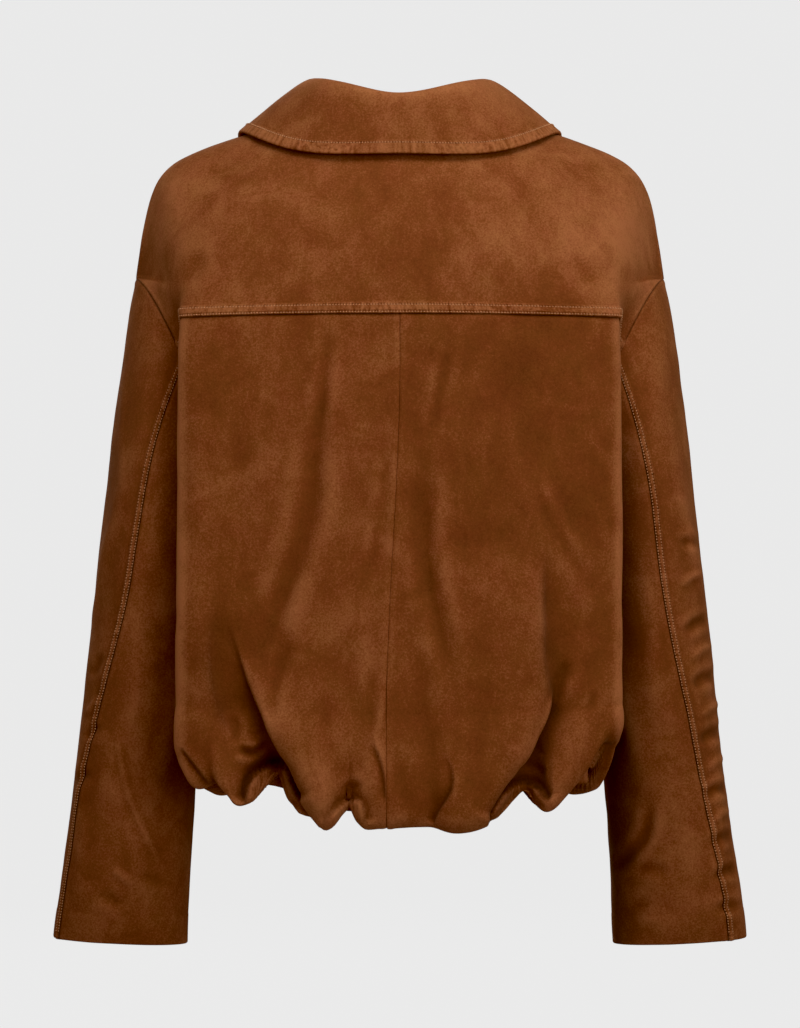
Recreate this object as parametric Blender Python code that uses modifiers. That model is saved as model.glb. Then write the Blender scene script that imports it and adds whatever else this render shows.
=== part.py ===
"""A suede blouson jacket, filled out as on a wearer, with a collar, a back yoke and a turned-under bubble hem.

Metres, +Z up. The front faces -Y and the wearer's left is +X. The origin is between the shoulders' neck points,
where the wearer's shoulders carry the jacket. Each piece that is cut and sewn is one wall of suede.
"""

import math

import bpy
import numpy as np
from mathutils import Vector

# ---- Cloth and seams ----
SUEDE = 0.002
SEAM = 0.0003
RIM_SLANT = np.array((1.0, 2.0, 3.0))  # both rims at a seam are split along the same diagonal
COLLAR_SUEDE = 0.0026
STEP = 1e-4

# ---- Heights of the sections, as row numbers down the body ----
NECK, SHOULDER_SEAM_END, YOKE_SEAM, UNDERARM, BLOUSE, HEM_BOTTOM, HEM_END = 0, 4, 5, 8, 12, 13, 14
CREST = 0.7
LEAN, LEAN_FROM, LEAN_TO = 0.011, -0.20, -0.50

# ---- Back and front sections, a row for each, from the neck down. The crest is the panel's outer corner. ----
# centre_y, centre_z, crest_x, crest_y, crest_z, tuck, arrive_x, arrive_y, arrive_drop, turn at the crest
BACK_ROWS = (
    (0.0640, -0.0220, 0.0760, 0.0260, -0.0050, 0.008, 0.000, 0.008, 0.000, 58),
    (0.0850, -0.0500, 0.1200, 0.0460, -0.0330, 0.016, 0.000, 0.020, 0.000, 56),
    (0.1000, -0.0800, 0.1530, 0.0590, -0.0660, 0.020, 0.000, 0.026, 0.000, 58),
    (0.1095, -0.1120, 0.1700, 0.0700, -0.1020, 0.022, -0.006, 0.026, 0.000, 66),
    (0.1150, -0.1430, 0.1755, 0.0790, -0.1400, 0.022, -0.014, 0.024, 0.000, 78),
    (0.1175, -0.1680, 0.1775, 0.0860, -0.1700, 0.020, -0.008, 0.008, 0.002, 90),
    (0.1195, -0.2000, 0.1785, 0.0900, -0.2030, 0.024, -0.003, 0.012, 0.008, 90),
    (0.1210, -0.2320, 0.1790, 0.0925, -0.2360, 0.028, -0.005, 0.022, 0.016, 90),
    (0.1220, -0.2650, 0.1792, 0.0940, -0.2690, 0.030, -0.006, 0.046, 0.022, 90),
    (0.1230, -0.3120, 0.1795, 0.0955, -0.3140, 0.031, -0.002, 0.048, 0.008, 90),
    (0.1245, -0.3780, 0.1800, 0.0970, -0.3780, 0.032, 0.001, 0.048, 0.000, 90),
    (0.1260, -0.4380, 0.1800, 0.0975, -0.4360, 0.032, 0.002, 0.048, 0.000, 90),
    (0.1260, -0.4880, 0.1795, 0.0970, -0.4820, 0.032, 0.003, 0.048, 0.000, 90),
)
FRONT_ROWS = (
    (-0.0780, -0.0850, 0.0730, -0.0300, -0.0120, -0.010, 0.000, -0.010, 0.000, 58),
    (-0.0900, -0.1050, 0.1160, -0.0480, -0.0440, -0.016, 0.000, -0.020, 0.000, 56),
    (-0.1000, -0.1250, 0.1480, -0.0590, -0.0760, -0.020, 0.000, -0.026, 0.000, 58),
    (-0.1080, -0.1460, 0.1640, -0.0680, -0.1110, -0.022, -0.006, -0.026, 0.000, 66),
    (-0.1135, -0.1660, 0.1690, -0.0750, -0.1480, -0.022, -0.014, -0.024, 0.000, 78),
    (-0.1170, -0.1860, 0.1690, -0.0800, -0.1780, -0.020, -0.006, -0.010, 0.002, 90),
    (-0.1200, -0.2120, 0.1680, -0.0830, -0.2080, -0.024, -0.003, -0.014, 0.008, 90),
    (-0.1225, -0.2400, 0.1670, -0.0850, -0.2400, -0.028, -0.005, -0.022, 0.016, 90),
    (-0.1245, -0.2690, 0.1665, -0.0865, -0.2710, -0.030, -0.006, -0.042, 0.022, 90),
    (-0.1260, -0.3140, 0.1665, -0.0880, -0.3150, -0.030, -0.002, -0.044, 0.008, 90),
    (-0.1275, -0.3780, 0.1675, -0.0900, -0.3780, -0.030, 0.001, -0.044, 0.000, 90),
    (-0.1285, -0.4380, 0.1690, -0.0910, -0.4360, -0.030, 0.002, -0.044, 0.000, 90),
    (-0.1285, -0.4880, 0.1690, -0.0905, -0.4820, -0.030, 0.003, -0.044, 0.000, 90),
)
# x, y, z of the top of the shoulder, from the neck to the armhole
SHOULDER = (
    (0.0800, 0.0020, 0.0000),
    (0.1357, 0.0000, -0.0166),
    (0.1795, 0.0000, -0.0335),
    (0.2055, 0.0000, -0.0640),
    (0.2190, 0.0000, -0.1340),
)
# x, z of the side seam, from the underarm down
SIDE_SEAM = ((0.1470, -0.2920), (0.1425, -0.3330), (0.1420, -0.3880), (0.1435, -0.4430), (0.1465, -0.4860))

# Where the centre back, the neck point and the centre front fall on the neck seam, as shares of its half
NECK_POINT_SHARE = 0.56

# ---- Armhole: a loop from the shoulder seam's end, round the back, to the underarm ----
ARMHOLE_TOP = np.array(SHOULDER[-1])
ARMHOLE_FOOT = np.array((SIDE_SEAM[0][0], 0.0, SIDE_SEAM[0][1]))
ARMHOLE_BULGE = {"back": np.array((-0.010, 0.058, 0.004)), "front": np.array((-0.008, -0.054, -0.002))}
ARMHOLE_ROWS = (4, 5, 6, 7, 8)
ARMHOLE_TURN = (0, 80, 115, 148, 180)
BACK_SEAM_AT, FRONT_SEAM_AT = 5.12, 6.4

# ---- Bubble hem, round from the centre back. Positive is towards the wearer's left. ----
BACK_SPAN, SIDE_ARC, FRONT_SPAN = 0.180, 0.105, 0.168
HEM_GIRTH = BACK_SPAN + 2 * SIDE_ARC + FRONT_SPAN
# along, bottom_z, out
HEM_WAVES = (
    (-0.5580, -0.5780, 0.000),
    (-0.5200, -0.5800, 0.004),
    (-0.4920, -0.5620, -0.006),
    (-0.4620, -0.5680, 0.005),
    (-0.4400, -0.5520, -0.004),
    (-0.4180, -0.5590, 0.003),
    (-0.3920, -0.5360, -0.004),
    (-0.3520, -0.5600, 0.002),
    (-0.3100, -0.5510, 0.000),
    (-0.2720, -0.5600, 0.001),
    (-0.2250, -0.5540, 0.000),
    (-0.1740, -0.5130, -0.001),
    (-0.1540, -0.5390, 0.002),
    (-0.1370, -0.5590, 0.003),
    (-0.1230, -0.5680, 0.003),
    (-0.1150, -0.5620, -0.003),
    (-0.1070, -0.5520, -0.010),
    (-0.0990, -0.5580, -0.008),
    (-0.0890, -0.5660, -0.001),
    (-0.0720, -0.5745, 0.005),
    (-0.0450, -0.5805, 0.007),
    (-0.0240, -0.5770, 0.001),
    (0.0080, -0.5780, 0.004),
    (0.0270, -0.5790, 0.003),
    (0.0340, -0.5730, -0.001),
    (0.0405, -0.5600, -0.006),
    (0.0510, -0.5675, -0.002),
    (0.0630, -0.5810, 0.005),
    (0.0740, -0.5730, 0.005),
    (0.0860, -0.5700, 0.001),
    (0.0960, -0.5580, -0.008),
    (0.1060, -0.5350, -0.012),
    (0.1180, -0.5480, -0.003),
    (0.1270, -0.5600, 0.002),
    (0.1360, -0.5630, 0.004),
    (0.1450, -0.5560, 0.003),
    (0.1550, -0.5420, 0.001),
    (0.1700, -0.5500, 0.002),
    (0.1900, -0.5240, -0.001),
    (0.2280, -0.5540, 0.000),
    (0.2680, -0.5610, 0.002),
    (0.3060, -0.5500, -0.001),
    (0.3460, -0.5620, 0.002),
    (0.3880, -0.5360, -0.003),
    (0.4240, -0.5600, 0.004),
    (0.4480, -0.5480, -0.007),
    (0.4780, -0.5740, 0.005),
    (0.5080, -0.5620, -0.005),
    (0.5320, -0.5790, 0.004),
    (0.5580, -0.5780, 0.000),
)
# How far in the hem has turned at its lowest, as a share, then the shares and lengths that shape its curve
HEM_IN_AT_FOOT, HEM_FALL, HEM_ROUND, HEM_TURN = 0.42, 0.5, 0.46, 0.6
HEM_BLOUSE, HEM_RISE = 0.004, 0.010
HEM_TUCK, TUCK_AT_LAP, LAP_FLAT, LAP_FULL = 0.024, 0.0065, 0.016, 0.050
HEM_REACH_X, HEM_REACH_Y = 0.180, 0.127
BAND_HEIGHT, BAND_LAP, BAND_CLEAR, BAND_END_X = 0.038, 0.016, 0.0012, 0.058
BAND_FOOT_CENTRE, BAND_FOOT_SIDE = -0.568, -0.547
# Round the hem from the centre back: the band's foot rises over the first pair and falls over the second
BAND_RISES, BAND_FALLS = (0.045, 0.13), (0.40, 0.50)

# ---- Folds in the panels: the path's top, middle and foot as x and z, then the height of the rounded side,
# the depth of the hollow side, and the width of each. A negative width puts that side towards -X. ----
# x0, z0, x1, z1, x2, z2, rise, dip, rise_width, dip_width
FOLD_EDGE, FOLD_ROUND = 0.011, 1.5
FOLD_GROWS, FOOT_FADE = 0.35, 0.5
FOOT_FADE_FROM, FOOT_FADE_TO = 0.01, -0.03
# The folds fade out over these widths and rows
FADE_AT_SIDE, FADE_AT_HEM, FADE_AT_YOKE = (0.78, 0.95), (12.7, 13.2), (4.6, 5.3)
BACK_FOLDS = (
    (0.058, -0.172, 0.066, -0.290, 0.104, -0.440, 0.003, 0.005, -0.050, 0.016),
    (0.132, -0.435, 0.110, -0.500, 0.062, -0.582, 0.010, 0.008, -0.050, 0.030),
    (0.150, -0.380, 0.150, -0.450, 0.140, -0.530, 0.004, 0.004, 0.020, -0.020),
    (0.034, -0.440, 0.026, -0.500, 0.032, -0.560, 0.003, 0.004, -0.016, 0.012),
    (-0.030, -0.215, -0.020, -0.300, -0.034, -0.560, 0.003, 0.004, -0.040, 0.014),
    (-0.108, -0.345, -0.118, -0.470, -0.074, -0.580, 0.010, 0.008, 0.050, -0.026),
    (-0.088, -0.220, -0.112, -0.320, -0.158, -0.400, 0.003, 0.002, 0.030, -0.040),
    (-0.142, -0.470, -0.150, -0.500, -0.130, -0.556, 0.004, 0.004, 0.024, -0.020),
)
FRONT_FOLDS = (
    (0.096, -0.330, 0.092, -0.440, 0.054, -0.570, 0.006, 0.006, -0.040, 0.022),
    (0.138, -0.400, 0.134, -0.480, 0.108, -0.560, 0.005, 0.005, -0.026, 0.020),
    (0.060, -0.190, 0.066, -0.280, 0.082, -0.390, 0.003, 0.003, -0.040, 0.020),
    (-0.090, -0.350, -0.086, -0.450, -0.046, -0.575, 0.006, 0.006, 0.040, -0.022),
    (-0.136, -0.380, -0.132, -0.470, -0.100, -0.562, 0.005, 0.005, 0.028, -0.020),
    (-0.064, -0.180, -0.068, -0.300, -0.088, -0.400, 0.003, 0.003, 0.040, -0.018),
)

# ---- Sleeve rings, a row for each, from below the underarm to the cuff ----
# centre_x, centre_y, centre_z, half_width, half_depth, then back_seam_left, back_seam_right and front_seam in
# degrees round from the outer edge
SLEEVE_ROWS = (
    (0.1998, -0.0080, -0.3300, 0.0467, 0.0720, 77, 83, 238),
    (0.2060, -0.0110, -0.4000, 0.0485, 0.0690, 70, 79, 240),
    (0.2138, -0.0150, -0.4830, 0.0498, 0.0630, 51, 68, 242),
    (0.2225, -0.0200, -0.5660, 0.0510, 0.0550, 37, 57, 242),
    (0.2314, -0.0260, -0.6490, 0.0546, 0.0440, 30, 49, 242),
    (0.2342, -0.0290, -0.6855, 0.0560, 0.0360, 29, 47, 242),
)
CUFF_SLANT, CUFF_SLANT_ROWS = 0.045, (4.5, 6)
# Directions in which the sleeve leaves the armhole: out, more at the front and back, and more under the arm
HEAD_OUT, HEAD_OUT_SIDES, HEAD_OUT_UNDER, HEAD_DEPTH = 0.22, 0.10, 0.80, 0.16
HEAD_UNDER_TURNS, HEAD_REACH = (95, 165), 0.33
# start_turn, end_turn, start_row, end_row, rise, width: slanting drag lines down the sleeve
SLEEVE_FOLDS = (
    (118, 150, 0.25, 2.6, 0.0035, 13),
    (150, 112, 1.6, 4.3, 0.0040, 13),
    (60, 20, 0.4, 2.4, 0.0030, 12),
    (20, 60, 2.8, 5.2, 0.0025, 12),
    (215, 262, 0.4, 3.2, 0.0040, 14),
    (300, 262, 2.2, 4.8, 0.0030, 13),
    (335, 300, 0.8, 2.8, 0.0030, 12),
)

# ---- Collar: the roll line's and the outer edge's places, a row each from the centre back to the front ----
# turn, roll_x, roll_y, roll_z, edge_x, edge_y, edge_z
COLLAR_ROWS = (
    (0.00, 0.0000, 0.0690, 0.0135, 0.0000, 0.0835, -0.0370),
    (0.22, 0.0350, 0.0620, 0.0200, 0.0520, 0.0800, -0.0370),
    (0.42, 0.0610, 0.0420, 0.0275, 0.0965, 0.0610, -0.0295),
    (0.56, 0.0735, 0.0110, 0.0305, 0.1240, 0.0290, -0.0165),
    (0.70, 0.0730, -0.0230, 0.0220, 0.1350, -0.0230, -0.0160),
    (0.85, 0.0480, -0.0620, -0.0160, 0.1180, -0.0740, -0.0610),
    (1.00, 0.0060, -0.0850, -0.0650, 0.0880, -0.1070, -0.1235),
)
COLLAR_FALL_BOW = 0.003
COLLAR_LIFT, STAND_RISE, STAND_LEAN = 0.0012, 0.014, 0.006
ROLL_FROM, ROLL_REACH, ROLL_CROWN = 0.004, 0.008, 0.001

# ---- Front closure ----
OVERLAP = 0.0125
UNDER_DROP, HEM_DROP = 0.0030, 0.0130
# The under front is sunk fully inside the first width from the centre, and not at all beyond the second
UNDER_WIDTHS, UNDER_ROWS, UNDER_LIFT = (0.020, 0.060), (11.0, 12.6), 0.7
BUTTON_RADIUS, BUTTON_THICKNESS = 0.010, 0.0034
BUTTON_TOP, BUTTON_SPACING, BUTTON_COUNT = -0.125, 0.0880, 5
BUTTON_SIDES, BUTTON_CLEAR = 18, 0.0006
# share of the radius, share of the thickness, from the front's middle round to the back's
BUTTON_PROFILE = ((0.0, 0.55), (0.74, 0.62), (0.86, 1.0), (0.97, 0.9), (1.0, 0.35), (0.80, 0.0), (0.0, 0.0))

# ---- How finely the walls are cut ----
BACK_COLUMNS, FRONT_COLUMNS, COLLAR_COLUMNS, SLEEVE_RINGS = 33, 25, 31, 12
INNER_SHARE, CREST_WIDTH = 0.66, 0.06
SHARP_FROM = math.radians(50)

SUEDE_COLOUR = (0.176, 0.055, 0.016, 1.0)
HORN_COLOUR = (0.060, 0.022, 0.010, 1.0)


# ---- Curves and blends ----
def curve_through(stations, values, at):
    """Natural cubic through the rows' values, at any station."""
    t, y = np.asarray(stations, float), np.asarray(values, float)
    n = len(t)
    gap = np.diff(t)
    system, right = np.eye(n), np.zeros((n,) + y.shape[1:])
    slope = np.diff(y, axis=0) / gap.reshape((-1,) + (1,) * (y.ndim - 1))
    for i in range(1, n - 1):
        system[i, i - 1 : i + 2] = gap[i - 1], 2 * (gap[i - 1] + gap[i]), gap[i]
        right[i] = 6 * (slope[i] - slope[i - 1])
    bend = np.linalg.solve(system, right.reshape(n, -1)).reshape(right.shape)
    at = np.asarray(at, float)
    i = np.clip(np.searchsorted(t, at) - 1, 0, n - 2)
    wide = (...,) + (None,) * (y.ndim - 1)
    h, a, b = gap[i][wide], (t[i + 1] - at)[wide], (at - t[i])[wide]
    return (
        (bend[i] * a**3 + bend[i + 1] * b**3) / (6 * h)
        + (y[i] / h - bend[i] * h / 6) * a
        + (y[i + 1] / h - bend[i + 1] * h / 6) * b
    )


def steady_through(stations, values, at):
    """Cubic through the rows' values that never passes beyond them, for waves."""
    t, y = np.asarray(stations, float), np.asarray(values, float)
    gap, slope = np.diff(t), np.diff(y) / np.diff(t)
    rate = np.zeros_like(y)
    same = slope[:-1] * slope[1:] > 0
    rate[1:-1][same] = 2 * slope[:-1][same] * slope[1:][same] / (slope[:-1] + slope[1:])[same]
    i = np.clip(np.searchsorted(t, at) - 1, 0, len(t) - 2)
    s = np.clip((at - t[i]) / gap[i], 0, 1)
    return (
        y[i] * (1 + 2 * s) * (1 - s) ** 2
        + y[i + 1] * s**2 * (3 - 2 * s)
        + gap[i] * (rate[i] * s * (1 - s) ** 2 - rate[i + 1] * s**2 * (1 - s))
    )


def ease(low, high, value):
    """0 at low, 1 at high, smooth between."""
    s = np.clip((value - low) / (high - low), 0, 1)
    return s * s * (3 - 2 * s)


def bezier(p0, p1, p2, p3, t):
    t = t[..., None]
    return p0 * (1 - t) ** 3 + 3 * p1 * t * (1 - t) ** 2 + 3 * p2 * t * t * (1 - t) + p3 * t**3


def points(x, y, z):
    return np.stack(np.broadcast_arrays(x, y, z), axis=-1)


def unit(vectors):
    return vectors / np.linalg.norm(vectors, axis=-1, keepdims=True)


# ---- Body ----
def armhole(half, turn):
    """A point of the armhole seam, turn degrees from its top round by the back or the front."""
    angle = np.radians(turn)[..., None]
    middle, reach = (ARMHOLE_TOP + ARMHOLE_FOOT) / 2, (ARMHOLE_TOP - ARMHOLE_FOOT) / 2
    return middle + reach * np.cos(angle) + ARMHOLE_BULGE[half] * np.sin(angle)


def side_line(half, row):
    """Where a section ends: on the shoulder seam, then the armhole, then the side seam."""
    shoulder = curve_through(range(5), SHOULDER, np.minimum(row, SHOULDER_SEAM_END))
    turn = curve_through(ARMHOLE_ROWS, ARMHOLE_TURN, np.clip(row, SHOULDER_SEAM_END, UNDERARM))
    seam = curve_through(range(8, 13), SIDE_SEAM, np.maximum(row, UNDERARM))
    below = points(seam[..., 0], 0.0, seam[..., 1])
    row = row[..., None]
    lower = np.where(row < UNDERARM, armhole(half, turn), below)
    return np.where(row < SHOULDER_SEAM_END, shoulder, lower)


def section(half, u, row):
    """A point of the plain body. u is 0 at the centre line, 1 at the side line and -1 at a front's edge."""
    rows = BACK_ROWS if half == "back" else FRONT_ROWS
    centre_y, centre_z, *corner, tuck, arrive_x, arrive_y, arrive_drop, turn = np.moveaxis(
        curve_through(range(len(rows)), rows, row), -1, 0
    )
    crest_x, crest_y, crest_z = corner
    bow, rise, full = centre_y - crest_y, crest_z - centre_z, np.radians(np.minimum(turn, 90))
    depth = bow / (1 - np.cos(full))
    over_crest = np.sin(np.minimum(u, CREST) / CREST * full) / np.sin(full)
    across = np.where(u < 0, u * OVERLAP / crest_x, over_crest)
    bowed = np.sqrt(1 - (across * np.sin(full)) ** 2) - np.cos(full)
    arch = points(crest_x * across, crest_y + depth * bowed, centre_z + rise * across**2)
    heading = points(crest_x / np.tan(full), -depth * np.sin(full), 2 * rise / np.tan(full))
    crest, side = points(crest_x, crest_y, crest_z), side_line(half, row)
    turned = bezier(
        crest,
        crest + unit(heading) * np.abs(tuck)[..., None],
        side + points(arrive_x, arrive_y, -arrive_drop),
        side,
        np.maximum((u - CREST) / (1 - CREST), 0),
    )
    return np.where((u < CREST)[..., None], arch, turned)


def hem_place(half, u, x):
    """How far round the hem a point is from the centre back."""
    beyond = np.clip((u - CREST) / (1 - CREST), 0, 1) * SIDE_ARC
    if half == "back":
        return np.where(u < CREST, x, np.sign(x) * (BACK_SPAN + beyond))
    on_side = np.sign(x) * (HEM_GIRTH - FRONT_SPAN - beyond)
    return np.where(u < CREST, np.sign(x + 1e-9) * HEM_GIRTH - x, on_side)


def lean(half, side, u, point):
    """The lower back is drawn a little to the wearer's left, with its centre seam."""
    moved = point * (side, 1.0, 1.0)
    if half == "back":
        from_crest = 1 - np.clip(np.abs(u) / CREST, 0, 1) ** 2
        moved[..., 0] += LEAN * ease(LEAN_FROM, LEAN_TO, point[..., 2]) * from_crest
    return moved


def body_plain(half, side, u, row):
    """The body with its bubble hem, before its folds."""
    u, row = np.broadcast_arrays(np.asarray(u, float), np.asarray(row, float))
    upper = lean(half, side, u, section(half, u, np.minimum(row, BLOUSE)))
    if row.max() <= BLOUSE:
        return upper
    at_blouse = np.full_like(u, BLOUSE)
    before, after = (lean(half, side, near, section(half, near, at_blouse)) for near in (u - STEP, u + STEP))
    along_u = after - before
    out = unit(points(along_u[..., 1], -along_u[..., 0], 0 * u))
    out *= np.sign((out * points(upper[..., 0], upper[..., 1], 0 * u)).sum(-1, keepdims=True))
    place = hem_place(half, u, upper[..., 0])
    waves = np.array(HEM_WAVES)
    foot = steady_through(waves[:, 0], waves[:, 1], place)
    bulge = steady_through(waves[:, 0], waves[:, 2], place)
    up = np.array((0.0, 0.0, 1.0))
    drop = (upper[..., 2] - foot)[..., None]
    inset = tucked(half, upper, 0.0)
    inner = points(inset[..., 0], inset[..., 1], band_foot(place) + BAND_LAP)
    turn_in = (inner - upper) * (1, 1, 0)
    bottom = points(upper[..., 0], upper[..., 1], foot) + turn_in * HEM_IN_AT_FOOT + out * bulge[..., None]
    q = np.clip(row - BLOUSE, 0, None)
    left_over = (inner - bottom) * (1, 1, 0)
    bloused = upper - up * drop * HEM_FALL + out * HEM_BLOUSE
    falling = bezier(upper, bloused, bottom - turn_in * HEM_ROUND, bottom, np.minimum(q, 1))
    turning = bezier(bottom, bottom + left_over * HEM_TURN, inner - up * HEM_RISE, inner, np.maximum(q - 1, 0))
    q = q[..., None]
    return np.where(q <= 0, upper, np.where(q <= 1, falling, turning))


def tucked(half, at, further):
    """The same place on the ring that the hem turns in to. It is pressed flat where the fronts lap."""
    depth = np.full_like(at[..., 0], HEM_TUCK)
    if half == "front":
        depth = TUCK_AT_LAP + (HEM_TUCK - TUCK_AT_LAP) * ease(LAP_FLAT, LAP_FULL, np.abs(at[..., 0]))
    return at * points(1 - (depth + further) / HEM_REACH_X, 1 - (depth + further) / HEM_REACH_Y, 1.0)


def band_foot(place):
    """Height of the hem band's lower edge, which rises to the sides."""
    raised = ease(*BAND_RISES, np.abs(place)) - ease(*BAND_FALLS, np.abs(place))
    return BAND_FOOT_CENTRE + (BAND_FOOT_SIDE - BAND_FOOT_CENTRE) * raised


def folds(half, x, z):
    """How far the folds lift the cloth."""
    lift = np.zeros_like(x)
    table = BACK_FOLDS if half == "back" else FRONT_FOLDS
    for x0, z0, x1, z1, x2, z2, rise, dip, rise_width, dip_width in table:
        path = curve_through((-z0, -z1, -z2), (x0, x1, x2), np.clip(-z, -z0, -z2))
        off = x - path
        grown = ease(0, FOLD_GROWS, (z0 - z) / (z0 - z2))
        fade = grown * (1 - FOOT_FADE * ease(z2 + FOOT_FADE_FROM, z2 + FOOT_FADE_TO, z))
        high = np.where(off * rise_width > 0, np.exp(-np.abs(off / rise_width) ** FOLD_ROUND), 0)
        low = np.where(off * dip_width > 0, np.exp(-np.abs(off / dip_width) ** FOLD_ROUND), 0)
        edge = np.tanh(np.abs(off) / FOLD_EDGE)
        lift += fade * edge * (rise * high - dip * low)
    return lift


def normals_of(surface, u, v):
    """Outward unit normals of a surface, by small steps."""
    du = surface(u + STEP, v) - surface(u - STEP, v)
    dv = surface(u, v + STEP) - surface(u, v - STEP)
    return unit(np.cross(du, dv))


def body(half, side, u, row):
    """The finished outer face of the body."""
    u, row = np.broadcast_arrays(np.asarray(u, float), np.asarray(row, float))
    plain = body_plain(half, side, u, row)
    normal = body_facing(half, side) * normals_of(lambda a, b: body_plain(half, side, a, b), u, row)
    fade = (1 - ease(*FADE_AT_SIDE, u)) * (1 - ease(*FADE_AT_HEM, row)) * ease(*FADE_AT_YOKE, row)
    lifted = plain + normal * (folds(half, plain[..., 0], plain[..., 2]) * fade)[..., None]
    if half == "front" and side > 0:
        at_hem = ease(*UNDER_ROWS, row)
        sunk = (UNDER_DROP + (HEM_DROP - UNDER_DROP) * at_hem) * (1 - ease(*UNDER_WIDTHS, plain[..., 0]))
        lifted = lifted + points(0 * sunk, sunk, UNDER_LIFT * sunk * at_hem)
    return lifted


def body_facing(half, side):
    """1 or -1, which makes the steps' normal point outwards."""
    return (1 if half == "back" else -1) * side


def body_normals(half, side, u, row):
    """Outward normals of the body, shared with the sleeve along the armhole so that the walls meet."""
    u, row = np.broadcast_arrays(np.asarray(u, float), np.asarray(row, float))
    own = body_own_normals(half, side, u, row)
    on_armhole = (u > 1 - 1e-6) & (row > SHOULDER_SEAM_END) & (row < UNDERARM)
    on_side = (u > 1 - 1e-6) & ~on_armhole
    if on_armhole.any():
        turn = curve_through(ARMHOLE_ROWS, ARMHOLE_TURN, np.clip(row, SHOULDER_SEAM_END, UNDERARM))
        around = np.where(half == "back", turn, 360 - turn)
        own[on_armhole] = shared(own, sleeve_own_normals(side, around, 0 * around))[on_armhole]
    if on_side.any():
        other = body_own_normals("front" if half == "back" else "back", side, u, row)
        own[on_side] = shared(own, other)[on_side]
    return own


def body_own_normals(half, side, u, row):
    """Outward normals of one half of the body. The steps stay on one side of the shoulder seam's end."""
    row = np.where(np.abs(row - SHOULDER_SEAM_END) < 2 * STEP, row - 2 * STEP, row)
    return body_facing(half, side) * normals_of(lambda a, b: body(half, side, a, b), u, row)


def shared(own, other):
    """The mean of two normals where they nearly agree, and else the first."""
    agree = (own * other).sum(-1, keepdims=True) > 0.2
    return np.where(agree, unit(own + other + 1e-12), own)


# ---- Sleeve ----
def sleeve_ring(turn, row):
    """A point of the tube, turn degrees round from its outer edge by the back."""
    centre_x, centre_y, centre_z, half_width, half_depth = np.moveaxis(
        curve_through(range(1, 7), np.array(SLEEVE_ROWS)[:, :5], row), -1, 0
    )
    angle = np.radians(turn)
    x = centre_x + half_width * np.cos(angle)
    slant = CUFF_SLANT * ease(*CUFF_SLANT_ROWS, row) * (x - centre_x)
    return points(x, centre_y + half_depth * np.sin(angle), centre_z + slant)


def sleeve_plain(side, turn, row):
    """The sleeve from the armhole at row 0 to the cuff at row 6."""
    turn, row = np.broadcast_arrays(np.asarray(turn, float), np.asarray(row, float))
    round_turn = np.mod(turn, 360)
    start = np.where(
        (round_turn <= 180)[..., None],
        armhole("back", np.minimum(round_turn, 180)),
        armhole("front", 360 - np.maximum(round_turn, 180)),
    )
    first = np.ones_like(row)
    end, end_run = sleeve_ring(turn, first), sleeve_ring(turn, first + STEP) - sleeve_ring(turn, first)
    angle = np.radians(turn)
    under = ease(*HEAD_UNDER_TURNS, 180 - np.abs(180 - round_turn))
    outward = HEAD_OUT + HEAD_OUT_SIDES * np.sin(angle) ** 2 + HEAD_OUT_UNDER * under
    leave = points(outward, HEAD_DEPTH * np.sin(angle), -1.0 + 0 * angle)
    reach = np.linalg.norm(end - start, axis=-1, keepdims=True) * HEAD_REACH
    head = bezier(start, start + unit(leave) * reach, end - unit(end_run) * reach, end, np.clip(row, -1, 1))
    placed = np.where((row < 1)[..., None], head, sleeve_ring(turn, np.maximum(row, 1)))
    return placed * np.array((side, 1.0, 1.0))


def sleeve(side, turn, row):
    """The finished outer face of the sleeve."""
    turn, row = np.broadcast_arrays(np.asarray(turn, float), np.asarray(row, float))
    plain = sleeve_plain(side, turn, row)
    normal = -side * normals_of(lambda a, b: sleeve_plain(side, a * 100, b), turn / 100, row)
    lift = np.zeros_like(row)
    for start_turn, end_turn, start_row, end_row, rise, width in SLEEVE_FOLDS:
        share = np.clip((row - start_row) / (end_row - start_row), 0, 1)
        off = (np.mod(turn - (start_turn + (end_turn - start_turn) * share) + 180, 360) - 180) / width
        lift += rise * np.sin(math.pi * share) ** 2 * np.exp(-(off**2)) * (1 - 0.6 * off)
    return plain + normal * lift[..., None]


def sleeve_own_normals(side, turn, row):
    turn, row = np.broadcast_arrays(np.asarray(turn, float), np.asarray(row, float))
    return -side * normals_of(lambda a, b: sleeve(side, a * 100, b), turn / 100, row)


def sleeve_normals(side, turn, row):
    """Outward normals of the sleeve, shared with the body along the armhole."""
    turn, row = np.broadcast_arrays(np.asarray(turn, float), np.asarray(row, float))
    own = sleeve_own_normals(side, turn, row)
    on_seam = row < 1e-6
    if on_seam.any():
        round_turn = np.mod(turn, 360)
        for half, here in (("back", round_turn <= 180), ("front", round_turn > 180)):
            down = np.where(half == "back", round_turn, 360 - round_turn)
            body_row = np.interp(down, ARMHOLE_TURN, ARMHOLE_ROWS)
            row_near = np.clip(body_row, SHOULDER_SEAM_END + 1e-3, UNDERARM - 1e-3)
            other = body_own_normals(half, side, np.ones_like(row), row_near)
            own = np.where((on_seam & here)[..., None], shared(own, other), own)
    return own


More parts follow.
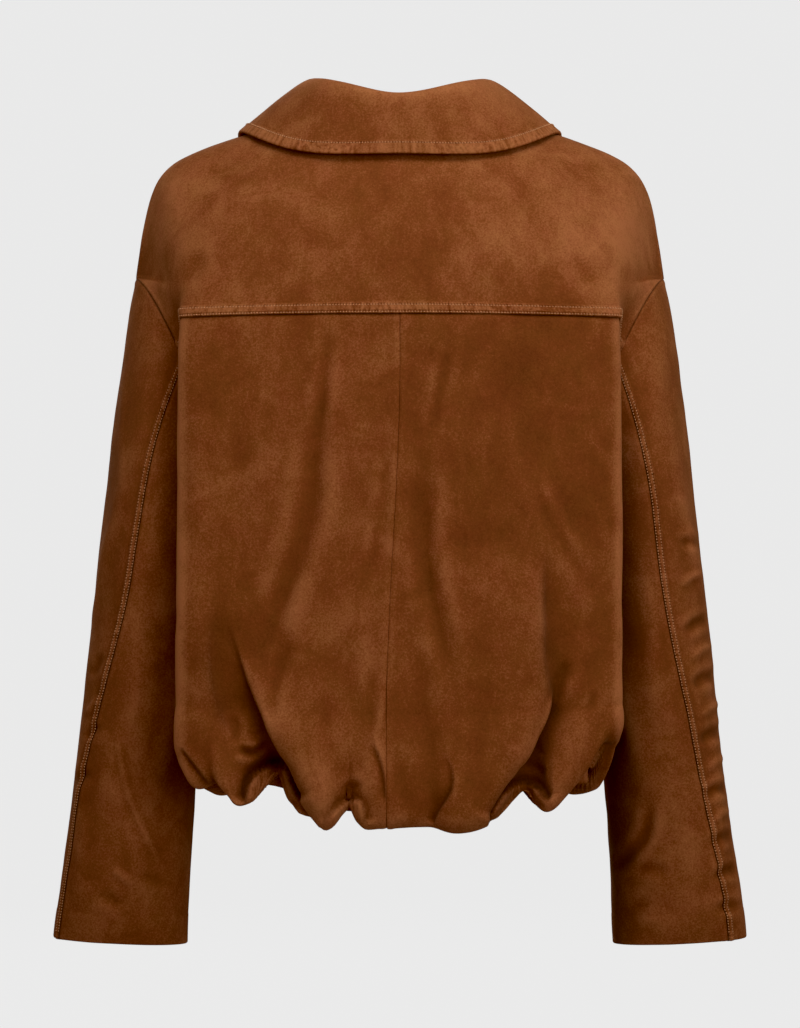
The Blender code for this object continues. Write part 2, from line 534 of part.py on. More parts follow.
# ---- Collar ----
def collar(turn, fall):
    """The collar's outer face. turn goes from -1 to 1 round the neck. fall is 0 at the neck seam, 1 at the roll
    and 2 at the outer edge."""
    turn, fall = np.broadcast_arrays(np.asarray(turn, float), np.asarray(fall, float))
    side, share = np.where(turn < 0, -1.0, 1.0), np.abs(turn)
    table = np.array(COLLAR_ROWS)
    mirrored = np.concatenate([table[:0:-1] * (-1, -1, 1, 1, -1, 1, 1), table])
    line = curve_through(mirrored[:, 0], mirrored[:, 1:], turn)
    roll, edge = line[..., :3], line[..., 3:]
    base = neck_seam(side, share)
    base[..., 2] += COLLAR_LIFT
    outward = unit((edge - roll) * (1, 1, 0) + 1e-9)
    up = np.array((0.0, 0.0, 1.0))
    below_roll = roll - up * ROLL_FROM - outward * STAND_LEAN
    stand = bezier(base, base + up * STAND_RISE, below_roll, roll, np.minimum(fall, 1))
    over_roll = roll + outward * ROLL_REACH + up * ROLL_CROWN
    middle = (roll + edge) / 2 + outward * COLLAR_FALL_BOW + up * COLLAR_FALL_BOW
    drape = bezier(roll, over_roll, middle, edge, np.clip(fall - 1, 0, None))
    return np.where((fall <= 1)[..., None], stand, drape)


def neck_seam(side, share):
    """The neck seam, share 0 at the centre back and 1 at the centre front."""
    back = section("back", np.clip(share / NECK_POINT_SHARE, 0, 1), 0 * share)
    front = section("front", np.clip((1 - share) / (1 - NECK_POINT_SHARE), 0, 1), 0 * share)
    at = np.where((share < NECK_POINT_SHARE)[..., None], back, front)
    return at * points(side, 1.0 + 0 * side, 1.0 + 0 * side)


# ---- Walls ----
def drawn_in(grid, edges):
    """The grid with the named edges half a seam's gap inside their seam lines."""
    grid = grid.copy()
    for edge in edges:
        view = {"u0": grid, "u1": grid[::-1], "v0": grid.swapaxes(0, 1), "v1": grid.swapaxes(0, 1)[::-1]}[edge]
        view[0] += unit(view[1] - view[0]) * SEAM / 2
    return grid


def cells(columns_count, rows_count, fine_from):
    """A grid's faces as (column, row) corners. Rows above fine_from skip every second column."""
    found = []
    for j in range(rows_count - 1):
        if j + 1 < fine_from:
            found += [((i, j), (i + 2, j), (i + 2, j + 1), (i, j + 1)) for i in range(0, columns_count - 1, 2)]
        elif j + 1 == fine_from:
            for i in range(0, columns_count - 1, 2):
                found.append(((i, j), (i + 2, j), (i + 2, j + 1), (i + 1, j + 1), (i, j + 1)))
        else:
            found += [((i, j), (i + 1, j), (i + 1, j + 1), (i, j + 1)) for i in range(columns_count - 1)]
    return found


def wall(name, outer, normal, thickness, material, edges=("u0", "u1", "v0", "v1"), fine_from=0):
    """One closed wall of cloth: its outer face, its inner face and the rim between them."""
    outer = drawn_in(outer, edges)
    across, along = outer.shape[:2]
    faces = [[i * along + j for i, j in cell] for cell in cells(across, along, fine_from)]
    if winding(outer, normal) < 0:
        faces = [face[::-1] for face in faces]
    used = sorted({corner for face in faces for corner in face})
    place = {corner: k for k, corner in enumerate(used)}
    faces = [[place[corner] for corner in face] for face in faces]
    sheet, facing = outer.reshape(-1, 3)[used], normal.reshape(-1, 3)[used]
    count = len(used)
    steps = {(face[k - 1], face[k]) for face in faces for k in range(len(face))}
    rim = []
    for a, b in sorted(steps):
        if (b, a) not in steps and (sheet[a] - sheet[b]) @ RIM_SLANT < 0:
            rim += [(b, a, a + count), (b, a + count, b + count)]
        elif (b, a) not in steps:
            rim += [(b, a, b + count), (a, a + count, b + count)]
    inside = [[corner + count for corner in face[::-1]] for face in faces]
    mesh = bpy.data.meshes.new(name)
    mesh.from_pydata(np.concatenate([sheet, sheet - facing * thickness]).tolist(), [], faces + inside + rim)
    mesh.materials.append(material)
    mesh.shade_smooth()
    mesh.set_sharp_from_angle(angle=SHARP_FROM)
    made = bpy.data.objects.new(name, mesh)
    PIECES.objects.link(made)
    return made


def winding(outer, normal):
    """Positive if the grid's cells, taken columns first, face the way the normals do."""
    across = outer[1:, :-1] - outer[:-1, :-1]
    along = outer[:-1, 1:] - outer[:-1, :-1]
    return (np.cross(across, along) * normal[:-1, :-1]).sum()


def suede_material(name, colour, roughness):
    made = bpy.data.materials.new(name)
    made.use_nodes = True
    shader = made.node_tree.nodes["Principled BSDF"]
    shader.inputs["Base Color"].default_value = colour
    shader.inputs["Roughness"].default_value = roughness
    return made


# ---- Pieces ----
def armhole_rows(start, end):
    """The body rows that meet the armhole, which the sleeve's columns meet too."""
    rows = (4.0, 4.25, 4.5, 4.75, 5.0, BACK_SEAM_AT, 5.45, 5.8, 6.1, FRONT_SEAM_AT, 6.7, 7.0, 7.3, 7.65, 8.0)
    return np.array([row for row in rows if start <= row <= end])


def columns(count):
    """An odd number of stations across a half, closer together round the crest."""
    inner = round(count * INNER_SHARE / 2) * 2
    flat = np.linspace(0, CREST - CREST_WIDTH, inner + 1)
    return np.concatenate([flat, np.linspace(CREST - CREST_WIDTH, 1, count - inner)[1:]])


def make_yoke():
    """One piece over both shoulder blades, from the neck to the yoke seam."""
    rows = np.concatenate([np.linspace(NECK, SHOULDER_SEAM_END, 6)[:-1], armhole_rows(4, 5)])
    across = columns(BACK_COLUMNS)[::2]
    left = np.meshgrid(across, rows, indexing="ij")
    right = np.meshgrid(across[:0:-1], rows, indexing="ij")
    outer = np.concatenate([body("back", -1, *right), body("back", 1, *left)])
    normal = np.concatenate([body_normals("back", -1, *right), body_normals("back", 1, *left)])
    wall("yoke", outer, normal, SUEDE, SUEDE_MATERIAL)


def make_panel(name, half, side, upper, across):
    """A back or a front: its upper rows, then those down to the blouse and round the bubble hem to the band."""
    middle, hem = np.linspace(UNDERARM, BLOUSE, 6)[1:-1], np.linspace(BLOUSE, HEM_END, 9)
    rows = np.concatenate([upper, middle, hem])
    grid = np.meshgrid(across, rows, indexing="ij")
    fine_from = len(upper) + 2
    outer, normal = body(half, side, *grid), body_normals(half, side, *grid)
    wall(name, outer, normal, SUEDE, SUEDE_MATERIAL, fine_from=fine_from)


def make_back(side, name):
    """A back panel, from the yoke seam down."""
    make_panel(name, "back", side, armhole_rows(5, 8), columns(BACK_COLUMNS))


def make_front(side, name):
    """A front, from the shoulder seam down, with its edge past the centre line."""
    upper = np.concatenate([np.linspace(NECK, SHOULDER_SEAM_END, 6)[:-1], armhole_rows(4, 8)])
    make_panel(name, "front", side, upper, np.concatenate([[-1.0, -0.5], columns(FRONT_COLUMNS)]))


def turn_at(row):
    return curve_through(ARMHOLE_ROWS, ARMHOLE_TURN, row)


def seam_turns(side, row):
    """Where the two sleeve seams run at a row, in degrees."""
    start = (turn_at(BACK_SEAM_AT), turn_at(BACK_SEAM_AT), 360 - turn_at(FRONT_SEAM_AT))
    table = np.array([start] + [r[5:] for r in SLEEVE_ROWS], float)
    left, right, front = np.moveaxis(curve_through(range(7), table, row), -1, 0)
    return (left if side > 0 else right), front


def make_sleeve(side, name):
    """The two pieces of a sleeve, which meet along the stitched back seam and the plain front seam."""
    rows = np.concatenate([np.linspace(0, 1, 6)[:-1], np.linspace(1, 6, SLEEVE_RINGS)])
    back_to_top, top_to_front = armhole_rows(4, BACK_SEAM_AT)[::-1], armhole_rows(4, FRONT_SEAM_AT)[1:]
    back_to_foot, foot_to_front = armhole_rows(BACK_SEAM_AT, 8), armhole_rows(FRONT_SEAM_AT, 8)[-2::-1]
    for part, before, after in (("top", back_to_top, top_to_front), ("under", back_to_foot, foot_to_front)):
        if part == "top":
            turns = np.concatenate([turn_at(before), -turn_at(after)])[::-1]
        else:
            turns = np.concatenate([turn_at(before), 360 - turn_at(after)])
        share, row = np.meshgrid((turns - turns[0]) / (turns[-1] - turns[0]), rows, indexing="ij")
        back, front = seam_turns(side, row)
        start, end = (front - 360, back) if part == "top" else (back, front)
        turn = start + (end - start) * share
        outer, normal = sleeve(side, turn, row), sleeve_normals(side, turn, row)
        wall(f"sleeve_{name}_{part}", outer, normal, SUEDE, SUEDE_MATERIAL)


def make_collar():
    """The collar, stand and fall in one piece."""
    falls = np.concatenate([np.linspace(0, 1, 4), np.linspace(1, 2, 6)[1:]])
    turn, fall = np.meshgrid(np.linspace(-1, 1, COLLAR_COLUMNS), falls, indexing="ij")
    wall("collar", collar(turn, fall), normals_of(collar, turn, fall), COLLAR_SUEDE, SUEDE_MATERIAL)


def band_ring(place, further):
    """The band's ring, from the centre back (0) round to the centre front (1 or -1)."""
    side, share = np.where(place < 0, -1.0, 1.0), np.abs(place)
    ring = np.zeros(place.shape + (3,))
    for sign in (1, -1):
        for half, u, here in (("back", share * 2, share <= 0.5), ("front", (1 - share) * 2, share > 0.5)):
            u = np.clip(u, 0, 1)
            upper = body_plain(half, sign, u, np.full_like(u, BLOUSE))
            at = tucked(half, upper, further)
            at[..., 2] = band_foot(hem_place(half, u, upper[..., 0]))
            chosen = here & (side == sign)
            ring[chosen] = at[chosen]
    return ring


def make_hem_band():
    """The inner band that the bubble hem is gathered onto, open at the front under the lap."""
    end = 1 - BAND_END_X / FRONT_ROWS[-1][2] * CREST / math.pi
    half_round = np.concatenate([0.5 * columns(BACK_COLUMNS)[::2], 1 - 0.5 * columns(FRONT_COLUMNS)[-3::-2]])
    half_round = np.append(half_round[half_round < end - 0.01], end)
    around = np.concatenate([-half_round[:0:-1], half_round])
    place, height = np.meshgrid(around, np.linspace(1, 0, 3), indexing="ij")
    outer, inner = (band_ring(place, SUEDE + BAND_CLEAR + depth) for depth in (0, SUEDE))
    for face in (outer, inner):
        face[..., 2] += BAND_HEIGHT * height
    wall("hem_band", outer, (outer - inner) / SUEDE, SUEDE, SUEDE_MATERIAL, ())


def button_mesh():
    """The half outline of a turned button with a raised rim, in order down its outer side."""
    outline = [(radius * BUTTON_RADIUS, 0.0, rise * BUTTON_THICKNESS) for radius, rise in BUTTON_PROFILE]
    mesh = bpy.data.meshes.new("button")
    mesh.from_pydata(outline, [(i, i + 1) for i in range(len(outline) - 1)], [])
    mesh.materials.append(HORN_MATERIAL)
    return mesh


def make_button(mesh, number):
    """A button, sewn on the centre line through the overlap."""
    height = BUTTON_TOP - BUTTON_SPACING * number
    down = np.interp(-height, [-row[1] for row in FRONT_ROWS], range(len(FRONT_ROWS)))
    for _ in range(4):
        down += (body("front", -1, 0.0, down)[..., 2] - height) / (BUTTON_SPACING / 2)
    face = unit(body_normals("front", -1, 0.0, down) * (0, 1, 1))
    button = bpy.data.objects.new(f"button_{number + 1}", mesh)
    button.location = body("front", -1, 0.0, down) + face * BUTTON_CLEAR
    button.rotation_euler = Vector(face).to_track_quat("Z", "Y").to_euler()
    turn = button.modifiers.new("turn", "SCREW")
    turn.steps = turn.render_steps = BUTTON_SIDES
    turn.use_merge_vertices, turn.merge_threshold = True, 1e-5
    PIECES.objects.link(button)


for leftover in list(bpy.data.objects):
    bpy.data.objects.remove(leftover)
PIECES = bpy.data.collections.new("suede_jacket")
bpy.context.scene.collection.children.link(PIECES)
SUEDE_MATERIAL = suede_material("suede", SUEDE_COLOUR, 0.9)
HORN_MATERIAL = suede_material("horn", HORN_COLOUR, 0.35)
make_yoke()
for sign, word in ((1, "left"), (-1, "right")):
    make_back(sign, f"back_{word}")
    make_front(sign, f"front_{word}")
    make_sleeve(sign, word)
make_collar()
make_hem_band()
BUTTON_MESH = button_mesh()
for count in range(BUTTON_COUNT):
    make_button(BUTTON_MESH, count)
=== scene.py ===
"""A suede blouson jacket: its cloth, seams, stitching, buttons and studio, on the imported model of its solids.

Metres, +Z up. The front faces -Y and the wearer's left is +X. Each cut piece of the solids gets a finer shell
of suede on the same form, with folds, turned edges and stitched seams.
"""

import math

import bpy
import numpy as np
from bpy.props import FloatProperty, FloatVectorProperty, PointerProperty
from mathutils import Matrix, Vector


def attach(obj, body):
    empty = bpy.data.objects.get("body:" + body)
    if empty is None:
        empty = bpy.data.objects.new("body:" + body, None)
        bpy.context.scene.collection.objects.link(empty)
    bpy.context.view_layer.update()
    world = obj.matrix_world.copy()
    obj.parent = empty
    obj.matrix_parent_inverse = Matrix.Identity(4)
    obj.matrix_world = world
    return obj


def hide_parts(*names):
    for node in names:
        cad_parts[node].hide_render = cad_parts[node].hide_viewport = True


bl_info = {
    "name": "Suede blouson jacket",
    "version": (1, 0, 0),
    "blender": (4, 5, 0),
    "location": "3D View > Sidebar > Jacket",
    "description": "Makes a suede blouson jacket's cloth, stitching, buttons and studio on its packed solids",
    "category": "Add Mesh",
}

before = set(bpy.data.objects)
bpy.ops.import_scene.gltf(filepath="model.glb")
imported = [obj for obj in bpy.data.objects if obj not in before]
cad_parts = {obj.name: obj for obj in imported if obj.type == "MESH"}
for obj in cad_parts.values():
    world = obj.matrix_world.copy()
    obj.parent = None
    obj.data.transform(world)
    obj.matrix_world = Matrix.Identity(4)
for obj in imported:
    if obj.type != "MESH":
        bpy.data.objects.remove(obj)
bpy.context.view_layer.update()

# ---- Units: tables of shapes are in millimetres, with degrees or shares where a column's name says so ----
MM = 1000
BODY_UNITS, SLEEVE_UNITS, COLLAR_UNITS = (MM,) * 9 + (1,), (MM,) * 5 + (1,) * 3, (1,) + (MM,) * 6

# ---- Body sections: the rows run down the body, from the neck to the hem's inner edge ----
NECK, SHOULDER_SEAM_END, YOKE_SEAM, UNDERARM, BLOUSE, HEM_END = 0, 4, 5, 8, 12, 14
# The share of a half section at which its panel turns its corner, the small step that gives slopes, and the
# degrees of a sleeve's turn that count as 1 for it
CREST, STEP, TURN_UNIT = 0.7, 1e-4, 100
LEAN, LEAN_FROM, LEAN_TO = 0.011, -0.20, -0.50

# ---- Back and front sections, a row for each, from the neck down. The crest is a panel's outer corner. ----
# centre_y, centre_z, crest_x, crest_y, crest_z, tuck, arrive_x, arrive_y, arrive_drop, turn in degrees
BACK_ROWS = np.array((
    (64, -22, 76, 26, -5, 8, 0, 8, 0, 58),
    (85, -50, 120, 46, -33, 16, 0, 20, 0, 56),
    (100, -80, 153, 59, -66, 20, 0, 26, 0, 58),
    (109.5, -112, 170, 70, -102, 22, -6, 26, 0, 66),
    (115, -143, 175.5, 79, -140, 22, -14, 24, 0, 78),
    (117.5, -168, 177.5, 86, -170, 20, -8, 8, 2, 90),
    (119.5, -200, 178.5, 90, -203, 24, -3, 12, 8, 90),
    (121, -232, 179, 92.5, -236, 28, -5, 22, 16, 90),
    (122, -265, 179.2, 94, -269, 30, -6, 46, 22, 90),
    (123, -312, 179.5, 95.5, -314, 31, -2, 48, 8, 90),
    (124.5, -378, 180, 97, -378, 32, 1, 48, 0, 90),
    (126, -438, 180, 97.5, -436, 32, 2, 48, 0, 90),
    (126, -488, 179.5, 97, -482, 32, 3, 48, 0, 90),
)) / BODY_UNITS
FRONT_ROWS = np.array((
    (-78, -85, 73, -30, -12, -10, 0, -10, 0, 58),
    (-90, -105, 116, -48, -44, -16, 0, -20, 0, 56),
    (-100, -125, 148, -59, -76, -20, 0, -26, 0, 58),
    (-108, -146, 164, -68, -111, -22, -6, -26, 0, 66),
    (-113.5, -166, 169, -75, -148, -22, -14, -24, 0, 78),
    (-117, -186, 169, -80, -178, -20, -6, -10, 2, 90),
    (-120, -212, 168, -83, -208, -24, -3, -14, 8, 90),
    (-122.5, -240, 167, -85, -240, -28, -5, -22, 16, 90),
    (-124.5, -269, 166.5, -86.5, -271, -30, -6, -42, 22, 90),
    (-126, -314, 166.5, -88, -315, -30, -2, -44, 8, 90),
    (-127.5, -378, 167.5, -90, -378, -30, 1, -44, 0, 90),
    (-128.5, -438, 169, -91, -436, -30, 2, -44, 0, 90),
    (-128.5, -488, 169, -90.5, -482, -30, 3, -44, 0, 90),
)) / BODY_UNITS
# x, y, z of the top of the shoulder, from the neck to the armhole
SHOULDER = np.array((
    (80, 2, 0),
    (135.7, 0, -16.6),
    (179.5, 0, -33.5),
    (205.5, 0, -64),
    (219, 0, -134),
)) / MM
# x, z of the side seam, from the underarm down
SIDE_SEAM = np.array(((147, -292), (142.5, -333), (142, -388), (143.5, -443), (146.5, -486))) / MM
# Where the neck point falls on the neck seam, as a share of the way from the centre back to the centre front
NECK_POINT_SHARE = 0.56

# ---- Armhole: a loop from the shoulder seam's end, round the back, to the underarm ----
ARMHOLE_TOP = SHOULDER[-1]
ARMHOLE_FOOT = np.array((SIDE_SEAM[0][0], 0.0, SIDE_SEAM[0][1]))
ARMHOLE_BULGE = {"back": np.array((-0.010, 0.058, 0.004)), "front": np.array((-0.008, -0.054, -0.002))}
ARMHOLE_ROWS, ARMHOLE_TURN = (4, 5, 6, 7, 8), (0, 80, 115, 148, 180)
# The rows at which the sleeve's back and front seams meet the armhole
BACK_SEAM_AT, FRONT_SEAM_AT = 5.12, 6.4

# ---- Bubble hem, round from the centre back. Positive is towards the wearer's left. ----
BACK_SPAN, SIDE_ARC, FRONT_SPAN = 0.180, 0.105, 0.168
HEM_GIRTH = BACK_SPAN + 2 * SIDE_ARC + FRONT_SPAN
# along, bottom_z, out
HEM_WAVES = np.array((
    (-558, -578, 0), (-520, -580, 4), (-492, -562, -6), (-462, -568, 5), (-440, -552, -4),
    (-418, -559, 3), (-392, -536, -4), (-352, -560, 2), (-310, -551, 0), (-272, -560, 1),
    (-225, -554, 0), (-174, -513, -1), (-154, -539, 2), (-137, -559, 3), (-123, -568, 3),
    (-115, -562, -3), (-107, -552, -10), (-99, -558, -8), (-89, -566, -1), (-72, -574.5, 5),
    (-45, -580.5, 7), (-24, -577, 1), (8, -578, 4), (27, -579, 3), (34, -573, -1), (40.5, -560, -6),
    (51, -567.5, -2), (63, -581, 5), (74, -573, 5), (86, -570, 1), (96, -558, -8), (106, -535, -12),
    (118, -548, -3), (127, -560, 2), (136, -563, 4), (145, -556, 3), (155, -542, 1), (170, -550, 2),
    (190, -524, -1), (228, -554, 0), (268, -561, 2), (306, -550, -1), (346, -562, 2), (388, -536, -3),
    (424, -560, 4), (448, -548, -7), (478, -574, 5), (508, -562, -5), (532, -579, 4), (558, -578, 0),
)) / MM
# How far in the hem has turned at its lowest, as a share, then the shares and lengths that shape its curve
HEM_IN_AT_FOOT, HEM_FALL, HEM_ROUND, HEM_TURN = 0.42, 0.5, 0.46, 0.6
HEM_BLOUSE, HEM_RISE = 0.004, 0.010
HEM_TUCK, TUCK_AT_LAP, LAP_FLAT, LAP_FULL = 0.024, 0.0065, 0.016, 0.050
HEM_REACH_X, HEM_REACH_Y = 0.180, 0.127
BAND_HEIGHT, BAND_LAP, BAND_CLEAR, BAND_END_X = 0.038, 0.016, 0.0012, 0.058
BAND_FOOT_CENTRE, BAND_FOOT_SIDE = -0.568, -0.547
# Round the hem from the centre back: the band's foot rises over the first pair and falls over the second
BAND_RISES, BAND_FALLS = (0.045, 0.13), (0.40, 0.50)

# ---- Large folds in the panels ----
FOLD_EDGE, FOLD_ROUND = 0.011, 1.5
FOLD_GROWS, FOOT_FADE = 0.35, 0.5
FOOT_FADE_FROM, FOOT_FADE_TO = 0.01, -0.03
# The shares of the way across, and the rows, over which the folds fade
FADE_AT_SIDE, FADE_AT_HEM, FADE_AT_YOKE = (0.78, 0.95), (12.7, 13.2), (4.6, 5.3)
# The path's top, middle and foot as x0, z0, x1, z1, x2, z2, then the rise of the rounded side, the dip of the
# hollow side, rise_width and dip_width. A negative width puts that side towards -X.
BACK_FOLDS = np.array((
    (58, -172, 66, -290, 104, -440, 3, 5, -50, 16),
    (132, -435, 110, -500, 62, -582, 10, 8, -50, 30),
    (150, -380, 150, -450, 140, -530, 4, 4, 20, -20),
    (34, -440, 26, -500, 32, -560, 3, 4, -16, 12),
    (-30, -215, -20, -300, -34, -560, 3, 4, -40, 14),
    (-108, -345, -118, -470, -74, -580, 10, 8, 50, -26),
    (-88, -220, -112, -320, -158, -400, 3, 2, 30, -40),
    (-142, -470, -150, -500, -130, -556, 4, 4, 24, -20),
)) / MM
FRONT_FOLDS = np.array((
    (96, -330, 92, -440, 54, -570, 6, 6, -40, 22),
    (138, -400, 134, -480, 108, -560, 5, 5, -26, 20),
    (60, -190, 66, -280, 82, -390, 3, 3, -40, 20),
    (-90, -350, -86, -450, -46, -575, 6, 6, 40, -22),
    (-136, -380, -132, -470, -100, -562, 5, 5, 28, -20),
    (-64, -180, -68, -300, -88, -400, 3, 3, 40, -18),
)) / MM

# ---- Sleeve rings, a row for each, from below the underarm to the cuff ----
# centre_x, centre_y, centre_z, half_width, half_depth, then the seams back_left, back_right and front in
# degrees round from the outer edge
SLEEVE_ROWS = np.array((
    (199.8, -8, -330, 46.7, 72, 77, 83, 238),
    (206, -11, -400, 48.5, 69, 70, 79, 240),
    (213.8, -15, -483, 49.8, 63, 51, 68, 242),
    (222.5, -20, -566, 51, 55, 37, 57, 242),
    (231.4, -26, -649, 54.6, 44, 30, 49, 242),
    (234.2, -29, -685.5, 56, 36, 29, 47, 242),
)) / SLEEVE_UNITS
CUFF = 6
CUFF_SLANT, CUFF_SLANT_ROWS = 0.045, (4.5, CUFF)
# Directions in which the sleeve leaves the armhole: out, more at the front and back, and more under the arm
HEAD_OUT, HEAD_OUT_SIDES, HEAD_OUT_UNDER, HEAD_DEPTH = 0.22, 0.10, 0.80, 0.16
HEAD_UNDER_TURNS, HEAD_REACH = (95, 165), 0.33
# Slanting drag lines down the sleeve, which lean to one side by this share: start_turn, end_turn, start_row,
# end_row, rise in metres, width in degrees
DRAG_LEAN = 0.6
SLEEVE_FOLDS = (
    (118, 150, 0.25, 2.6, 0.0035, 13),
    (150, 112, 1.6, 4.3, 0.0040, 13),
    (60, 20, 0.4, 2.4, 0.0030, 12),
    (20, 60, 2.8, 5.2, 0.0025, 12),
    (215, 262, 0.4, 3.2, 0.0040, 14),
    (300, 262, 2.2, 4.8, 0.0030, 13),
    (335, 300, 0.8, 2.8, 0.0030, 12),
)

# ---- Collar: the roll line's and the outer edge's places, a row each from the centre back to the front ----
# turn as a share, roll_x, roll_y, roll_z, edge_x, edge_y, edge_z
COLLAR_ROWS = np.array((
    (0, 0, 69, 13.5, 0, 83.5, -37),
    (0.22, 35, 62, 20, 52, 80, -37),
    (0.42, 61, 42, 27.5, 96.5, 61, -29.5),
    (0.56, 73.5, 11, 30.5, 124, 29, -16.5),
    (0.7, 73, -23, 22, 135, -23, -16),
    (0.85, 48, -62, -16, 118, -74, -61),
    (1, 6, -85, -65, 88, -107, -123.5),
)) / COLLAR_UNITS
COLLAR_FALL_BOW = 0.003
COLLAR_LIFT, STAND_RISE, STAND_LEAN = 0.0012, 0.014, 0.006
ROLL_FROM, ROLL_REACH, ROLL_CROWN = 0.004, 0.008, 0.001

# ---- Front closure ----
OVERLAP = 0.0125
UNDER_DROP, HEM_DROP = 0.0030, 0.0130
# The under front is sunk fully inside the first width from the centre, and not at all beyond the second
UNDER_WIDTHS, UNDER_ROWS, UNDER_LIFT = (0.020, 0.060), (11.0, 12.6), 0.7
BUTTON_RADIUS, BUTTON_THICKNESS = 0.010, 0.0034
BUTTON_TOP, BUTTON_SPACING, BUTTON_COUNT = -0.125, 0.0880, 5
BUTTON_CLEAR, BUTTON_SIDES = 0.0006, 72
# share of the radius, share of the thickness, from the front's middle round to the back's
BUTTON_PROFILE = ((0.0, 0.55), (0.74, 0.62), (0.86, 1.0), (0.97, 0.9), (1.0, 0.35), (0.80, 0.0), (0.0, 0.0))
# The face's innermost ring and its number of rings, the shares of the way between the rim's corners that have
# a ring, and the shares of a hole's radius between which the horn slopes into it
FACE_INNER, FACE_RINGS, RIM_SHARES, HOLE_SLOPE = 0.0004, 26, (0.34, 0.67, 1.0), (0.75, 1.15)
# The strands over the button: how far from their middle line, their radius, how far they rise and sink, and
# for what share of the way past each hole, then their sides and rings, and how far under the face they start
STRAND_APART, STRAND_RADIUS, STRAND_RISE, STRAND_SINK, STRAND_PAST = 0.00028, 0.0003, 0.0004, 0.0012, 0.12
STRAND_SIDES, STRAND_RINGS, STRAND_DROP = 8, 9, 0.0001


# ---- Curves and blends ----
def curve_through(stations, values, at):
    """Natural cubic through the rows' values, at any station."""
    t, y = np.asarray(stations, float), np.asarray(values, float)
    n = len(t)
    gap = np.diff(t)
    system, right = np.eye(n), np.zeros((n,) + y.shape[1:])
    slope = np.diff(y, axis=0) / gap.reshape((-1,) + (1,) * (y.ndim - 1))
    for i in range(1, n - 1):
        system[i, i - 1 : i + 2] = gap[i - 1], 2 * (gap[i - 1] + gap[i]), gap[i]
        right[i] = 6 * (slope[i] - slope[i - 1])
    bend = np.linalg.solve(system, right.reshape(n, -1)).reshape(right.shape)
    at = np.asarray(at, float)
    i = np.clip(np.searchsorted(t, at) - 1, 0, n - 2)
    wide = (...,) + (None,) * (y.ndim - 1)
    h, a, b = gap[i][wide], (t[i + 1] - at)[wide], (at - t[i])[wide]
    return (
        (bend[i] * a**3 + bend[i + 1] * b**3) / (6 * h)
        + (y[i] / h - bend[i] * h / 6) * a
        + (y[i + 1] / h - bend[i + 1] * h / 6) * b
    )


def steady_through(stations, values, at):
    """Cubic through the rows' values that never passes beyond them, for waves."""
    t, y = np.asarray(stations, float), np.asarray(values, float)
    gap, slope = np.diff(t), np.diff(y) / np.diff(t)
    rate = np.zeros_like(y)
    same = slope[:-1] * slope[1:] > 0
    rate[1:-1][same] = 2 * slope[:-1][same] * slope[1:][same] / (slope[:-1] + slope[1:])[same]
    i = np.clip(np.searchsorted(t, at) - 1, 0, len(t) - 2)
    s = np.clip((at - t[i]) / gap[i], 0, 1)
    return (
        y[i] * (1 + 2 * s) * (1 - s) ** 2
        + y[i + 1] * s**2 * (3 - 2 * s)
        + gap[i] * (rate[i] * s * (1 - s) ** 2 - rate[i + 1] * s**2 * (1 - s))
    )


def ease(low, high, value):
    """0 at low, 1 at high, smooth between."""
    s = np.clip((value - low) / (high - low), 0, 1)
    return s * s * (3 - 2 * s)


def bezier(p0, p1, p2, p3, t):
    t = t[..., None]
    return p0 * (1 - t) ** 3 + 3 * p1 * t * (1 - t) ** 2 + 3 * p2 * t * t * (1 - t) + p3 * t**3


def points(x, y, z):
    return np.stack(np.broadcast_arrays(x, y, z), axis=-1)


def unit(vectors):
    return vectors / np.linalg.norm(vectors, axis=-1, keepdims=True)


# ---- Body ----
def armhole(half, turn):
    """A point of the armhole seam, turn degrees from its top round by the back or the front."""
    angle = np.radians(turn)[..., None]
    middle, reach = (ARMHOLE_TOP + ARMHOLE_FOOT) / 2, (ARMHOLE_TOP - ARMHOLE_FOOT) / 2
    return middle + reach * np.cos(angle) + ARMHOLE_BULGE[half] * np.sin(angle)


def side_line(half, row):
    """Where a section ends: on the shoulder seam, then the armhole, then the side seam."""
    shoulder = curve_through(range(SHOULDER_SEAM_END + 1), SHOULDER, np.minimum(row, SHOULDER_SEAM_END))
    turn = curve_through(ARMHOLE_ROWS, ARMHOLE_TURN, np.clip(row, SHOULDER_SEAM_END, UNDERARM))
    seam = curve_through(range(UNDERARM, BLOUSE + 1), SIDE_SEAM, np.maximum(row, UNDERARM))
    below = points(seam[..., 0], 0.0, seam[..., 1])
    row = row[..., None]
    lower = np.where(row < UNDERARM, armhole(half, turn), below)
    return np.where(row < SHOULDER_SEAM_END, shoulder, lower)


def section(half, u, row):
    """A point of the plain body. u is 0 at the centre line, 1 at the side line and -1 at a front's edge."""
    rows = BACK_ROWS if half == "back" else FRONT_ROWS
    centre_y, centre_z, *corner, tuck, arrive_x, arrive_y, arrive_drop, turn = np.moveaxis(
        curve_through(range(len(rows)), rows, row), -1, 0
    )
    crest_x, crest_y, crest_z = corner
    bow, rise, full = centre_y - crest_y, crest_z - centre_z, np.radians(np.minimum(turn, 90))
    depth = bow / (1 - np.cos(full))
    over_crest = np.sin(np.minimum(u, CREST) / CREST * full) / np.sin(full)
    across = np.where(u < 0, u * OVERLAP / crest_x, over_crest)
    bowed = np.sqrt(1 - (across * np.sin(full)) ** 2) - np.cos(full)
    arch = points(crest_x * across, crest_y + depth * bowed, centre_z + rise * across**2)
    heading = points(crest_x / np.tan(full), -depth * np.sin(full), 2 * rise / np.tan(full))
    crest, side = points(crest_x, crest_y, crest_z), side_line(half, row)
    turned = bezier(
        crest,
        crest + unit(heading) * np.abs(tuck)[..., None],
        side + points(arrive_x, arrive_y, -arrive_drop),
        side,
        np.maximum((u - CREST) / (1 - CREST), 0),
    )
    return np.where((u < CREST)[..., None], arch, turned)


